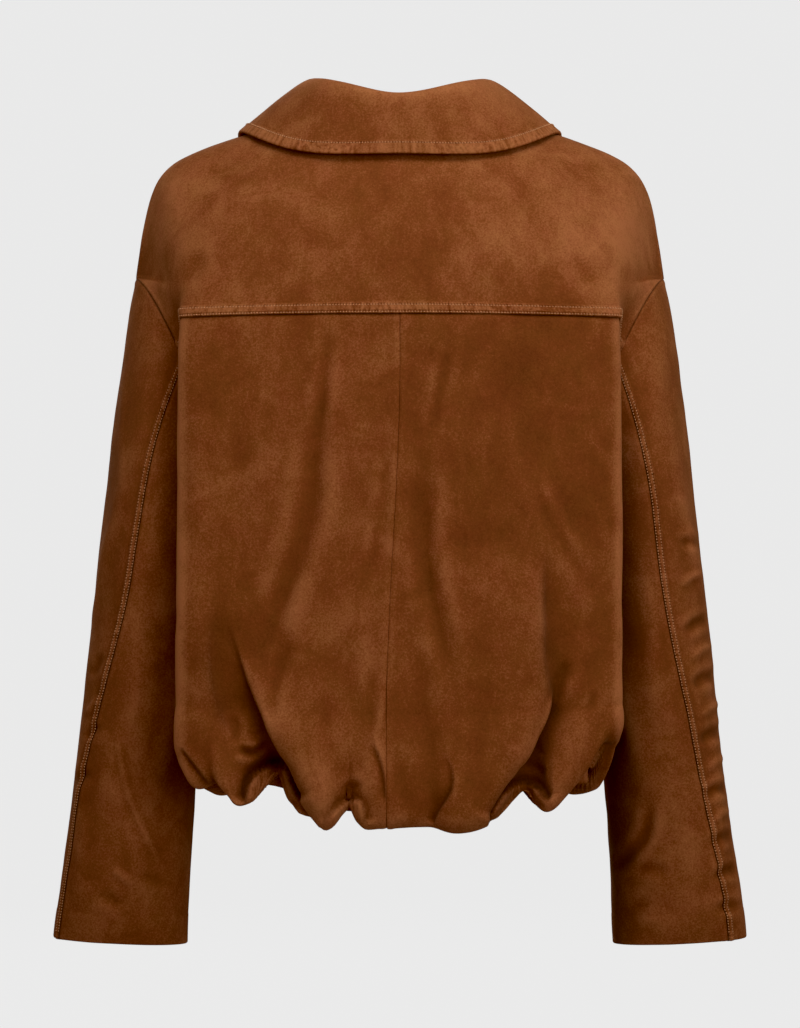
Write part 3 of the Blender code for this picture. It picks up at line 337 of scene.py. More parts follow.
def hem_place(half, u, x):
    """How far round the hem a point is from the centre back."""
    beyond = np.clip((u - CREST) / (1 - CREST), 0, 1) * SIDE_ARC
    if half == "back":
        return np.where(u < CREST, x, np.sign(x) * (BACK_SPAN + beyond))
    on_side = np.sign(x) * (HEM_GIRTH - FRONT_SPAN - beyond)
    return np.where(u < CREST, np.sign(x + 1e-9) * HEM_GIRTH - x, on_side)


def lean(half, side, u, point):
    """The lower back is drawn a little to the wearer's left, with its centre seam."""
    moved = point * (side, 1.0, 1.0)
    if half == "back":
        from_crest = 1 - np.clip(np.abs(u) / CREST, 0, 1) ** 2
        moved[..., 0] += LEAN * ease(LEAN_FROM, LEAN_TO, point[..., 2]) * from_crest
    return moved


def body_plain(half, side, u, row):
    """The body with its bubble hem, before its folds."""
    u, row = np.broadcast_arrays(np.asarray(u, float), np.asarray(row, float))
    upper = lean(half, side, u, section(half, u, np.minimum(row, BLOUSE)))
    if row.max() <= BLOUSE:
        return upper
    at_blouse = np.full_like(u, BLOUSE)
    before, after = (lean(half, side, near, section(half, near, at_blouse)) for near in (u - STEP, u + STEP))
    along_u = after - before
    out = unit(points(along_u[..., 1], -along_u[..., 0], 0 * u))
    out *= np.sign((out * points(upper[..., 0], upper[..., 1], 0 * u)).sum(-1, keepdims=True))
    place = hem_place(half, u, upper[..., 0])
    foot, bulge = (steady_through(HEM_WAVES[:, 0], HEM_WAVES[:, column], place) for column in (1, 2))
    up = np.array((0.0, 0.0, 1.0))
    drop = (upper[..., 2] - foot)[..., None]
    inset = tucked(half, upper, 0.0)
    inner = points(inset[..., 0], inset[..., 1], band_foot(place) + BAND_LAP)
    turn_in = (inner - upper) * (1, 1, 0)
    bottom = points(upper[..., 0], upper[..., 1], foot) + turn_in * HEM_IN_AT_FOOT + out * bulge[..., None]
    q = np.clip(row - BLOUSE, 0, None)
    left_over = (inner - bottom) * (1, 1, 0)
    bloused = upper - up * drop * HEM_FALL + out * HEM_BLOUSE
    falling = bezier(upper, bloused, bottom - turn_in * HEM_ROUND, bottom, np.minimum(q, 1))
    turned = bottom + left_over * HEM_TURN
    turning = bezier(bottom, turned, inner - up * HEM_RISE, inner, np.maximum(q - 1, 0))
    q = q[..., None]
    return np.where(q <= 0, upper, np.where(q <= 1, falling, turning))


def tucked(half, at, further):
    """The same place on the ring that the hem turns in to. It is pressed flat where the fronts lap."""
    depth = np.full_like(at[..., 0], HEM_TUCK)
    if half == "front":
        depth = TUCK_AT_LAP + (HEM_TUCK - TUCK_AT_LAP) * ease(LAP_FLAT, LAP_FULL, np.abs(at[..., 0]))
    return at * points(1 - (depth + further) / HEM_REACH_X, 1 - (depth + further) / HEM_REACH_Y, 1.0)


def band_foot(place):
    """Height of the hem band's lower edge, which rises to the sides."""
    raised = ease(*BAND_RISES, np.abs(place)) - ease(*BAND_FALLS, np.abs(place))
    return BAND_FOOT_CENTRE + (BAND_FOOT_SIDE - BAND_FOOT_CENTRE) * raised


def folds(half, x, z):
    """How far the folds lift the cloth."""
    lift = np.zeros_like(x)
    table = BACK_FOLDS if half == "back" else FRONT_FOLDS
    for x0, z0, x1, z1, x2, z2, rise, dip, rise_width, dip_width in table:
        path = curve_through((-z0, -z1, -z2), (x0, x1, x2), np.clip(-z, -z0, -z2))
        off = x - path
        grown = ease(0, FOLD_GROWS, (z0 - z) / (z0 - z2))
        fade = grown * (1 - FOOT_FADE * ease(z2 + FOOT_FADE_FROM, z2 + FOOT_FADE_TO, z))
        high, low = (
            np.where(off * width > 0, np.exp(-np.abs(off / width) ** FOLD_ROUND), 0)
            for width in (rise_width, dip_width)
        )
        edge = np.tanh(np.abs(off) / FOLD_EDGE)
        lift += fade * edge * (rise * high - dip * low)
    return lift


def normals_of(surface, u, v):
    """Outward unit normals of a surface, by small steps."""
    du = surface(u + STEP, v) - surface(u - STEP, v)
    dv = surface(u, v + STEP) - surface(u, v - STEP)
    return unit(np.cross(du, dv))


def body(half, side, u, row):
    """The finished outer face of the body."""
    u, row = np.broadcast_arrays(np.asarray(u, float), np.asarray(row, float))
    plain = body_plain(half, side, u, row)
    normal = body_facing(half, side) * normals_of(lambda a, b: body_plain(half, side, a, b), u, row)
    fade = (1 - ease(*FADE_AT_SIDE, u)) * (1 - ease(*FADE_AT_HEM, row)) * ease(*FADE_AT_YOKE, row)
    lifted = plain + normal * (folds(half, plain[..., 0], plain[..., 2]) * fade)[..., None]
    if half == "front" and side > 0:
        at_hem = ease(*UNDER_ROWS, row)
        sunk = (UNDER_DROP + (HEM_DROP - UNDER_DROP) * at_hem) * (1 - ease(*UNDER_WIDTHS, plain[..., 0]))
        lifted = lifted + points(0 * sunk, sunk, UNDER_LIFT * sunk * at_hem)
    return lifted


def body_facing(half, side):
    """1 or -1, which makes the steps' normal point outwards."""
    return (1 if half == "back" else -1) * side


# ---- Sleeve ----
def sleeve_ring(turn, row):
    """A point of the tube, turn degrees round from its outer edge by the back."""
    centre_x, centre_y, centre_z, half_width, half_depth = np.moveaxis(
        curve_through(range(1, CUFF + 1), SLEEVE_ROWS[:, :5], row), -1, 0
    )
    angle = np.radians(turn)
    x = centre_x + half_width * np.cos(angle)
    slant = CUFF_SLANT * ease(*CUFF_SLANT_ROWS, row) * (x - centre_x)
    return points(x, centre_y + half_depth * np.sin(angle), centre_z + slant)


def sleeve_plain(side, turn, row):
    """The sleeve from the armhole at row 0 to the cuff at row 6."""
    turn, row = np.broadcast_arrays(np.asarray(turn, float), np.asarray(row, float))
    round_turn = np.mod(turn, 360)
    start = np.where(
        (round_turn <= 180)[..., None],
        armhole("back", np.minimum(round_turn, 180)),
        armhole("front", 360 - np.maximum(round_turn, 180)),
    )
    first = np.ones_like(row)
    end, end_run = sleeve_ring(turn, first), sleeve_ring(turn, first + STEP) - sleeve_ring(turn, first)
    angle = np.radians(turn)
    under = ease(*HEAD_UNDER_TURNS, 180 - np.abs(180 - round_turn))
    outward = HEAD_OUT + HEAD_OUT_SIDES * np.sin(angle) ** 2 + HEAD_OUT_UNDER * under
    leave = points(outward, HEAD_DEPTH * np.sin(angle), -1.0 + 0 * angle)
    reach = np.linalg.norm(end - start, axis=-1, keepdims=True) * HEAD_REACH
    head = bezier(start, start + unit(leave) * reach, end - unit(end_run) * reach, end, np.clip(row, -1, 1))
    placed = np.where((row < 1)[..., None], head, sleeve_ring(turn, np.maximum(row, 1)))
    return placed * np.array((side, 1.0, 1.0))


def sleeve(side, turn, row):
    """The finished outer face of the sleeve."""
    turn, row = np.broadcast_arrays(np.asarray(turn, float), np.asarray(row, float))
    plain = sleeve_plain(side, turn, row)
    normal = -side * normals_of(lambda a, b: sleeve_plain(side, a * TURN_UNIT, b), turn / TURN_UNIT, row)
    lift = np.zeros_like(row)
    for start_turn, end_turn, start_row, end_row, rise, width in SLEEVE_FOLDS:
        share = np.clip((row - start_row) / (end_row - start_row), 0, 1)
        off = (np.mod(turn - (start_turn + (end_turn - start_turn) * share) + 180, 360) - 180) / width
        lift += rise * np.sin(math.pi * share) ** 2 * np.exp(-(off**2)) * (1 - DRAG_LEAN * off)
    return plain + normal * lift[..., None]


# ---- Collar ----
def collar(turn, fall):
    """The collar's outer face. turn goes from -1 to 1 round the neck. fall is 0 at the neck seam, 1 at the
    roll and 2 at the outer edge."""
    turn, fall = np.broadcast_arrays(np.asarray(turn, float), np.asarray(fall, float))
    side, share = np.where(turn < 0, -1.0, 1.0), np.abs(turn)
    mirrored = np.concatenate([COLLAR_ROWS[:0:-1] * (-1, -1, 1, 1, -1, 1, 1), COLLAR_ROWS])
    line = curve_through(mirrored[:, 0], mirrored[:, 1:], turn)
    roll, edge = line[..., :3], line[..., 3:]
    base = neck_seam(side, share)
    base[..., 2] += COLLAR_LIFT
    outward = unit((edge - roll) * (1, 1, 0) + 1e-9)
    up = np.array((0.0, 0.0, 1.0))
    below_roll = roll - up * ROLL_FROM - outward * STAND_LEAN
    stand = bezier(base, base + up * STAND_RISE, below_roll, roll, np.minimum(fall, 1))
    over_roll = roll + outward * ROLL_REACH + up * ROLL_CROWN
    middle = (roll + edge) / 2 + outward * COLLAR_FALL_BOW + up * COLLAR_FALL_BOW
    drape = bezier(roll, over_roll, middle, edge, np.clip(fall - 1, 0, None))
    return np.where((fall <= 1)[..., None], stand, drape)


def neck_seam(side, share):
    """The neck seam, share 0 at the centre back and 1 at the centre front."""
    back = section("back", np.clip(share / NECK_POINT_SHARE, 0, 1), 0 * share)
    front = section("front", np.clip((1 - share) / (1 - NECK_POINT_SHARE), 0, 1), 0 * share)
    at = np.where((share < NECK_POINT_SHARE)[..., None], back, front)
    return at * points(side, 1.0 + 0 * side, 1.0 + 0 * side)


def band_ring(place, further):
    """The band's ring, from the centre back (0) round to the centre front (1 or -1)."""
    side, share = np.where(place < 0, -1.0, 1.0), np.abs(place)
    ring = np.zeros(place.shape + (3,))
    for sign in (1, -1):
        for half, u, here in (("back", share * 2, share <= 0.5), ("front", (1 - share) * 2, share > 0.5)):
            u = np.clip(u, 0, 1)
            upper = body_plain(half, sign, u, np.full_like(u, BLOUSE))
            at = tucked(half, upper, further)
            at[..., 2] = band_foot(hem_place(half, u, upper[..., 0]))
            chosen = here & (side == sign)
            ring[chosen] = at[chosen]
    return ring


# ---- Fine folds, in millimetres. An overlap is one roll of cloth lying over a hollow. ----
# path down the panel as x and z, then the rounded side (1 towards +X), then rise, rise_width, dip, dip_width
# and edge, then grow and shrink, the shares of the path over which the overlap grows and dies away
BACK_OVERLAPS = (
    (((138, -407), (134, -425), (128, -444), (121, -465), (113, -482), (105, -501), (96, -523)),
     -1, (2.6, 18, 5.6, 14, 1), (0.9, 0.2)),
    (((120, -469), (110, -492), (100, -516), (89, -541), (78, -562), (64, -581)),
     -1, (1.4, 9, 4.4, 8, 0.6), (0.25, 0.02)),
    (((-126, -462), (-122, -479), (-116, -497), (-105, -517), (-92, -541)),
     1, (3, 20, 7.8, 16, 1), (0.4, 0.2)),
    (((-115, -501), (-104, -519), (-92, -540), (-80, -559), (-69, -577)),
     1, (1.2, 10, 5.6, 9, 0.6), (0.25, 0.04)),
    (((-116, -342), (-115, -378), (-115, -413), (-116, -454), (-121, -481)),
     1, (1.2, 14, 3, 12, 4), (0.4, 0.3)),
    (((145, -378), (150, -406), (152, -438), (149, -469), (142, -492), (132, -511)),
     1, (0.8, 12, 3.4, 9, 6), (0.5, 0.25)),
    (((-30, -513), (-38, -524), (-42, -537), (-40, -551), (-32, -564), (-27, -577)),
     -1, (0.9, 10, 3.8, 6, 1), (0.7, 0.05)),
    (((22, -508), (18, -519), (14, -532), (12, -546), (12, -561)),
     -1, (1, 6, 2.6, 5, 0.8), (0.3, 0.2)),
    (((177, -514), (169, -525), (161, -535), (153, -545), (145, -552)),
     -1, (0.8, 7, 3.2, 8, 1.4), (0.15, 0.15)),
    (((-174, -509), (-166, -519), (-157, -530), (-148, -541), (-140, -552)),
     1, (0.8, 7, 3.2, 8, 1.4), (0.15, 0.15)),
)
# The turned hem's edge where it shows as a lip under each arch, in the same columns
HEM_LIPS = (
    (((125, -562), (123, -552), (119, -542), (112, -535), (104, -532), (96, -533), (92, -540),
      (88, -551), (82, -562)),
     1, (2.2, 8, 6, 12, 0.7), (0.08, 0.08)),
    (((62, -578), (55, -569), (47, -561), (39, -557), (32, -558), (29, -566), (27, -577)),
     1, (1.4, 7, 3.4, 8, 0.7), (0.08, 0.08)),
    (((-72, -575), (-80, -562), (-87, -553), (-95, -547), (-104, -546), (-111, -551), (-116, -561)),
     1, (2.2, 8, 5.6, 11, 0.7), (0.08, 0.08)),
)
# path as x and z, depth, width, shoulder. A negative depth is a ridge.
BACK_TROUGHS = (
    (((58, -172), (60, -205), (64, -245), (68, -278)), 1.8, 4.8, 0.6),
    (((63, -237), (68, -278), (72, -318), (80, -353), (91, -386), (100, -413),
      (108, -446)), 3.8, 8.5, 1.4),
    (((87, -423), (96, -450), (102, -477), (99, -501)), 2.4, 6, 0.8),
    (((-42, -181), (-36, -213), (-29, -245), (-24, -278)), 2, 4.6, 0.6),
    (((-26, -262), (-20, -301), (-18, -342), (-22, -382), (-29, -417), (-36, -450),
      (-40, -489)), 4, 8, 1.4),
    (((10, -270), (12, -293), (14, -322), (22, -365), (27, -398)), 1.4, 4.5, 0.4),
    (((-103, -281), (-116, -308), (-128, -334), (-143, -359), (-159, -385)), -2.8, 7, 0),
    (((-58, -205), (-64, -262), (-63, -318), (-56, -365)), -1.2, 10, 0),
    (((122, -254), (128, -285), (131, -318), (128, -357)), 1.8, 13, 0),
    (((156, -213), (161, -262), (163, -318), (160, -365)), -1.2, 10, 0),
    (((131, -515), (123, -519), (115, -520), (104, -515)), 4.2, 3.4, 1.6),
    (((137, -487), (132, -501), (132, -514)), 2.6, 4.2, 0.4),
    (((12, -446), (13, -477), (19, -505), (16, -533)), -1.6, 4.4, 0),
    (((-158, -469), (-155, -479), (-152, -490)), 1.2, 3.6, 0.4),
    (((-128, -455), (-125, -469), (-119, -487)), 1.4, 4.4, 0.6),
    (((-136, -442), (-129, -462), (-123, -481)), 2.4, 6, 1),
    (((-147, -406), (-140, -446), (-128, -485), (-119, -513)), -1.4, 9, 0),
    (((-84, -413), (-87, -454), (-80, -493), (-69, -525)), -1.6, 14, 0),
    (((80, -365), (83, -406), (76, -446), (70, -493)), -1.4, 12, 0),
    (((52, -469), (56, -501), (51, -533), (44, -551)), 1.6, 9, 0),
    (((23, -446), (24, -477), (22, -509)), 1.2, 4, 0.4),
    (((48, -552), (38, -546), (32, -549)), 1.6, 4, 0.6),
    (((4, -513), (-2, -541), (-6, -574)), 1.3, 6, 0.4),
    (((-94, -529), (-104, -535), (-116, -538)), 2.2, 4.5, 0.8),
    (((-136, -117), (-148, -132), (-164, -145)), 1.4, 8, 0.6),
    (((156, -114), (168, -130), (179, -145)), 1.4, 8, 0.6),
)
# Patches painted paler or darker, partly the nap's own tone and partly painted light and shade, such as the
# shoulders painted paler as if lit from above: x, z, size, and the strength as a share
TONE_AND_LIGHT_PATCHES = (
    (0, -117, 45, -0.04),
    (-140, -93, 50, 0.07),
    (-192, -98, 26, 0.12),
    (185, -89, 32, 0.08),
    (144, -217, 50, -0.05),
    (-128, -222, 60, -0.08),
    (-152, -318, 45, -0.06),
    (144, -429, 40, -0.07),
    (-156, -429, 40, -0.05),
    (-56, -541, 40, -0.08),
    (150, -513, 30, -0.05),
    (48, -334, 35, 0.03),
    (40, -429, 45, 0.03),
    (80, -270, 30, 0.03),
    (-56, -270, 40, -0.03),
    (-128, -365, 16, 0.06),
    (56, -9, 22, -0.04),
    (-56, -9, 25, 0.03),
    (213, -252, 28, -0.05),
    (196, -399, 24, 0.1),
    (-197, -432, 18, -0.08),
    (-201, -645, 24, 0.06),
    (192, -604, 24, 0.03),
    (-238, -580, 26, 0.03),
    (237, -432, 30, 0.02),
)
FRONT_OVERLAPS = (
    (((118, -420), (112, -465), (96, -505), (76, -540), (60, -568)),
     -1, (3.5, 20, 5, 15, 2.2), (0.4, 0.02)),
    (((-112, -410), (-106, -460), (-90, -505), (-70, -540), (-52, -570)),
     1, (3.5, 20, 5, 15, 2.2), (0.4, 0.02)),
    (((156, -460), (150, -495), (136, -525), (120, -550)),
     -1, (2.5, 14, 4, 12, 2), (0.35, 0.05)),
    (((-158, -450), (-150, -490), (-134, -520), (-116, -548)),
     1, (2.5, 14, 4, 12, 2), (0.35, 0.05)),
)
FRONT_TROUGHS = (
    (((52, -190), (60, -280), (76, -370), (86, -430)), 2, 9, 0.8),
    (((-56, -180), (-64, -270), (-78, -360), (-88, -410)), 2, 10, 0.8),
    (((30, -430), (34, -480), (28, -550)), 1.6, 6, 0.6),
    (((-30, -440), (-36, -490), (-30, -556)), 1.6, 6, 0.6),
    (((138, -260), (125, -300), (104, -330)), 1.4, 8, 0.6),
    (((-140, -250), (-126, -295), (-102, -330)), 1.4, 8, 0.6),
)
# For each sleeve, 1 the wearer's left and -1 the right. The folds at the elbow are on the outer side.
SLEEVE_BACK_TROUGHS = {
    1: (
        (((233, -493), (230, -525), (224, -556), (214, -583), (203, -608), (196, -626)), -2.4, 2.4, 0),
        (((231, -500), (227, -540), (217, -576), (205, -605)), 1.8, 5, 0),
        (((212, -430), (218, -470), (220, -515)), -1.2, 7, 0),
        (((259, -496), (253, -487), (247, -476)), -2.4, 3, 0),
        (((260, -516), (253, -508), (246, -500)), 2, 4, 0.6),
        (((256, -464), (250, -454), (245, -440)), 2.2, 4, 0.6),
        (((270, -556), (262, -546), (254, -540)), 1.8, 4, 0.6),
        (((238, -619), (229, -627), (218, -637)), -1.6, 3.4, 0),
        (((228, -195), (228, -260), (229, -334)), -1, 3.5, 0),
        (((196, -360), (202, -400), (199, -450)), 1.2, 8, 0),
        (((190, -640), (205, -630), (215, -633)), 1.2, 5.5, 0),
        (((248, -640), (238, -648), (224, -650)), 1.2, 5, 0.4),
    ),
    -1: (
        (((-205, -560), (-204, -580), (-198, -600), (-184, -619), (-177, -631)), 2.6, 4.5, 1.2),
        (((-221, -160), (-211, -227), (-207, -270)), -1.2, 8, 0),
        (((-200, -370), (-206, -430), (-204, -500)), -1.2, 7, 0),
        (((-229, -356), (-238, -352), (-250, -356)), 1.8, 4, 0.8),
        (((-230, -390), (-239, -380), (-253, -378)), -2, 3.6, 0),
        (((-233, -429), (-243, -419), (-258, -416)), 2.8, 4.2, 1),
        (((-238, -452), (-248, -440), (-262, -439)), -2.2, 3.6, 0),
        (((-240, -474), (-250, -464), (-265, -465)), 3, 4.6, 1),
        (((-244, -499), (-256, -488), (-270, -487)), -2.2, 4, 0),
        (((-245, -520), (-257, -510), (-273, -513)), 3, 4.6, 1),
        (((-249, -546), (-261, -533), (-276, -533)), -1.8, 4, 0),
        (((-250, -566), (-262, -556), (-278, -560)), 3.2, 4.2, 1.2),
        (((-254, -590), (-266, -576), (-280, -579)), -2.2, 4, 0),
        (((-256, -606), (-268, -596), (-283, -601)), 2.8, 4.6, 1),
        (((-260, -634), (-270, -624), (-286, -629)), 3, 4.4, 1),
        (((-262, -660), (-272, -654), (-286, -660)), 2.2, 4.4, 0.8),
        (((-186, -670), (-196, -656), (-212, -648)), 1.2, 6, 0.4),
        (((-193, -628), (-208, -622), (-224, -630)), 1.1, 5, 0.4),
    ),
}
SLEEVE_FRONT_TROUGHS = (
    (((190, -360), (205, -405), (230, -430)), 1.8, 7, 0.6),
    (((192, -430), (210, -460), (240, -470)), 1.6, 6, 0.6),
    (((250, -520), (230, -545), (205, -550)), 1.4, 6, 0.5),
    (((200, -590), (220, -610), (250, -615)), 1.2, 5.5, 0.5),
)
# How many straight runs stand for the curve between two points of a path
SMOOTHING = 6
# The depth that puts an overlap's edge in full shade, and that shade's share of the hollow side's width
FOLD_DEEP, FOLD_SHADOW = 0.006, 0.35
# A lip's press grows and dies over these shares of its path, and lies from its edge up to where it ends. A
# trough fades over a share at both ends.
LIP_GROWS, LIP_DIES, LIP_EDGE, LIP_END, TROUGH_FADE = (0.05, 0.2), (0.8, 0.95), 0.0015, (0.016, 0.022), 0.35
# The rows over which fine folds end, over which lips end and the hem's press begins, and over which gathers
# begin, then the rows past which folds give no shade and lips no press
BACK_FINE_END, FRONT_FINE_END = (12.8, 13.1), (12.75, 13.1)
LIPS_END, GATHERS_START, SHADE_END, LIP_PRESS_END = (12.98, 13.2), (12.95, 13.6), 13.0, 13.1
GATHER_PITCH, GATHER_HEIGHT, GATHER_WANDER, GATHER_SIZE = 0.0070, 0.0010, 2.5, 0.02
# How much the gathers' wander changes from place to place, along each axis
GATHER_TURNS = (1, 1, 0.2)
# The back is drawn in under the yoke's edge by this depth, over this reach
YOKE_DRAW, YOKE_REACH = 0.0006, 0.003
# The front's grid is this much coarser across and down, and its folds end this near the front edge, whose
# stitching presses it by this share up to this far beyond the row
FRONT_ACROSS, FRONT_DOWN, FRONT_CALM, FRONT_PRESS, PRESS_BEYOND = 1.5, 1.3, (0.030, 0.015), 0.6, 0.001
# Where a sleeve turns to its back or front, as the sine of its turn, and its cuff's turned edge, which is
# thicker by a share and stands up
SLEEVE_TURNS, CUFF_EDGE, CUFF_THICKER, CUFF_UP = (0.0, 0.35), (0.024, 0.026), 0.8, 0.0002
# Where the body's side is, how dark the painted shadow of the body lies on each sleeve beside it and how far
# out, and from what height down
BODY_SIDE, BODY_SHADOW_ON_SLEEVES, BODY_SHADOW_FROM = 0.176, {1: (0.10, 0.010), -1: (0.80, 0.018)}, (-0.22, -0.32)
# Painted highlight: the body is painted paler over this stretch across its side, where light grazes its crest
CREST_HIGHLIGHT = (0.168, 0.176)
# How much paler or darker each piece is painted as a whole, partly painted light and shade: the yoke and
# collar up top paler, the sleeves darker. The left and right differ by the back's share.
YOKE_TONE, BACK_TONE, SLEEVE_TONE, COLLAR_TONE = 0.025, 0.01, -0.025, 0.02
# The sleeves' and collar's grids are this much finer. The collar's stitched edge stands up by this share of a
# band's height and is this much thicker. Its stand counts as further from the ends, less so past the roll.
FINER, COLLAR_BAND, COLLAR_EDGE, STAND_AWAY, STAND_FALLS = 0.8, 0.5, 0.0005, 0.2, (1.0, 1.3)
# The hem band's points round and down, and its pucker's height, size and distances from the edge
BAND_POINTS = (360, 15)
HEM_PUCKER, HEM_PUCKER_SIZE, HEM_PUCKER_END = 0.0003, 0.006, (0.0, 0.004)
# The lines along which grids are measured: the share and rows of the body, the sleeve's row and its pieces'
# turns, and the collar's fall
BODY_SHARE, YOKE_ROW, PANEL_ROW, SLEEVE_ROW, SLEEVE_TURN = 0.4, 4.0, 9.0, 3.0, {"top": 0.0, "under": 160.0}
COLLAR_FALL = 1.6
# How far the collar's foot is let down in front, how far back on the side that lies under, and up to what
# height, then where across the front that side begins and ends, and from where forward the foot comes down
FOOT_DOWN, FOOT_BACK, FOOT_REACH = 0.0016, 0.0042, 0.005
UNDER_FROM, UNDER_TO, FOOT_FROM = (0.007, 0.013), (0.034, 0.050), (0.0, -0.02)

# ---- The leather's surface ----
# Height and size of each layer of its unevenness
SLACK = ((0.0009, 0.055), (0.00035, 0.018))
# A plain seam's pucker as a share and its size, and how far off its ridge is and how wide
SEAM_PUCKER, SEAM_PUCKER_SIZE, RIDGE_AWAY, RIDGE_WIDTH = 0.5, 0.012, 0.0030, 0.0024
# A stitched band's edge and the roll at its foot, its pucker's height, size and how much it runs straight
# across, and the width that a needle draws in
BAND_EDGE, BAND_ROLL, BAND_PUCKER, BAND_PUCKER_SIZE, BAND_ACROSS = 0.0022, 0.0011, 0.00022, 0.0042, 0.2
NEEDLE_WIDTH = 0.0007
# Rounds of smoothing that find fine and broad hollows, each with the depth that counts as full, and the share
# of each of the two in the whole. Hollows are painted darker as shade and ridges paler as painted highlight.
HOLLOWS, HOLLOW_SHARE = ((12, 0.0009), (110, 0.0045)), 0.5
# The noise repeats after so many lumps, and each seed starts it so many lumps further on
NOISE_CELLS, NOISE_SHIFT = 32, 7.3
# A stitch's radii and heights from end to end, as shares of its thread, and its number of sides
STITCH_RADII, STITCH_HEIGHTS = (0.35, 0.9, 1.0, 0.9, 0.35), (-0.55, 0.20, 0.42, 0.20, -0.55)
STITCH_SIDES = 6
# How much of the nap's tone comes from its patches, drags, fibres and ribs, and the tones for its colours
PATCH_SHARE, DRAG_SHARE, FIBRE_SHARE, RIB_SHARE = 0.31, 0.20, 0.48, 0.45
DARK_AT, MIDDLE_AT, LIGHT_AT = 0.280, 0.495, 0.705
# The hues between which the dye varies, where 0.5 is no change, and the drags' share in the felted surface
HUE_FROM, HUE_TO, FELT_DRAGS = 0.4965, 0.5025, 0.6

# ---- Grids ----
# Distances from a plain seam and from a stitched edge at which a shell has a line of points
SEAM_LINES = np.array((0.0, 0.00025, 0.0006, 0.0011, 0.0018, 0.0027, 0.0038, 0.0052))
STITCH_LINES = np.concatenate([(0.0, 0.00025), np.arange(0.0006, 0.0112, 0.0006)])
NO_LINES = SEAM_LINES[:1]


def stations(at, line, step, start=SEAM_LINES, end=SEAM_LINES):
    """Places along a line of points that are a step apart, and closer by its seams and stitched edges."""
    run = np.concatenate([[0], np.cumsum(np.linalg.norm(np.diff(line, axis=0), axis=-1))])
    end = run[-1] - end[::-1]
    count = max(2, math.ceil((end[0] - start[-1]) / step) + 1)
    marks = np.concatenate([start[:-1], np.linspace(start[-1], end[0], count), end[1:]])
    return np.interp(marks, run, at)


def grid_normals(grid, facing):
    """The unit normals of a grid of points, outwards where facing suits its order."""
    return unit(facing * np.cross(np.gradient(grid, axis=0), np.gradient(grid, axis=1)))


def edge_distances(grid):
    """How far each point is from each edge of its grid, along the grid's own lines."""
    found = {}
    for axis, name in ((0, "u"), (1, "v")):
        gaps = np.linalg.norm(np.diff(grid, axis=axis), axis=-1)
        zero = np.zeros_like(gaps[:1] if axis == 0 else gaps[:, :1])
        run = np.concatenate([zero, np.cumsum(gaps, axis=axis)], axis=axis)
        found[name + "0"] = run
        found[name + "1"] = (run[-1:] if axis == 0 else run[:, -1:]) - run
    return found


def smoothed(values, rounds):
    """The values averaged with their neighbours, so many times over."""
    for _ in range(rounds):
        padded = np.pad(values, ((1, 1), (1, 1), (0, 0)), mode="edge")
        values = (padded[:-2, 1:-1] + padded[2:, 1:-1] + padded[1:-1, :-2] + padded[1:-1, 2:]) / 4
    return values


def soft_noise(at, size, seed):
    """Smooth noise from -1 to 1 at points, with lumps of about the size given."""
    lattice = np.random.RandomState(seed).uniform(-1, 1, (NOISE_CELLS,) * 3)
    place = at / size + seed * NOISE_SHIFT
    cell = np.floor(place).astype(int)
    part = place - cell
    part = part * part * (3 - 2 * part)
    total = 0
    for corner in np.ndindex(2, 2, 2):
        index = (cell + corner) % NOISE_CELLS
        weight = np.prod(np.where(corner, part, 1 - part), axis=-1)
        total = total + weight * lattice[index[..., 0], index[..., 1], index[..., 2]]
    return total


def drawn_in(grid, edges):
    """The grid with the named edges half a gap inside their seam lines."""
    grid = grid.copy()
    for edge in edges:
        view = grid if edge[0] == "u" else grid.swapaxes(0, 1)
        if edge[1] == "1":
            view = view[::-1]
        view[0] += unit(view[1] - view[0]) * bpy.context.scene.jacket_stitching.seam_gap / 2
    return grid


# ---- Fold fields ----
def from_path(x, z, path):
    """Signed distance from a path, positive on its +X side going down, and the share of the way along."""
    runs = len(path) - 1
    line = curve_through(range(runs + 1), np.array(path) / MM, np.linspace(0, runs, SMOOTHING * runs + 1))
    start, run = line[:-1], np.diff(line, axis=0)
    best = np.full(x.shape, np.inf)
    signed, share = np.zeros(x.shape), np.zeros(x.shape)
    for k, ((x0, z0), (dx, dz)) in enumerate(zip(start, run)):
        along = np.clip(((x - x0) * dx + (z - z0) * dz) / (dx * dx + dz * dz), 0, 1)
        off_x, off_z = x - x0 - along * dx, z - z0 - along * dz
        away = np.hypot(off_x, off_z)
        nearer = away < best
        best = np.where(nearer, away, best)
        signed = np.where(nearer, away * np.sign(dx * off_z - dz * off_x), signed)
        share = np.where(nearer, (k + along) / len(run), share)
    return signed, share


def each_overlap(x, z, table):
    """For each overlap: how far points lie on its rounded side, the share of the way along it, its strength
    there, and its sizes."""
    for path, rounded, sizes, (grow, shrink) in table:
        away, share = from_path(x, z, path)
        strength = ease(0, grow, share) * (1 - ease(1 - shrink, 1, share))
        yield away * rounded, share, strength, np.array(sizes) / MM


def overlap_lift(x, z, table):
    """How far the overlaps lift the cloth."""
    total = np.zeros(x.shape)
    for away, _, strength, (rise, rise_width, dip, dip_width, edge) in each_overlap(x, z, table):
        high, low = (
            size * np.exp(-((np.abs(away) / width) ** FOLD_ROUND)) * np.tanh(np.abs(away) / edge)
            for size, width in ((rise, rise_width), (-dip, dip_width))
        )
        total += strength * np.where(away > 0, high, low)
    return total


def fold_dark(x, z, table):
    """How deep in its own shade a point lies, just under the edge of each overlap."""
    total = np.zeros(x.shape)
    for away, _, strength, (_, _, dip, dip_width, edge) in each_overlap(x, z, table):
        near = np.exp(np.minimum(away, 0) / (FOLD_SHADOW * dip_width)) * np.exp(-np.maximum(away, 0) / edge)
        total = np.maximum(total, strength * dip / FOLD_DEEP * near)
    return total


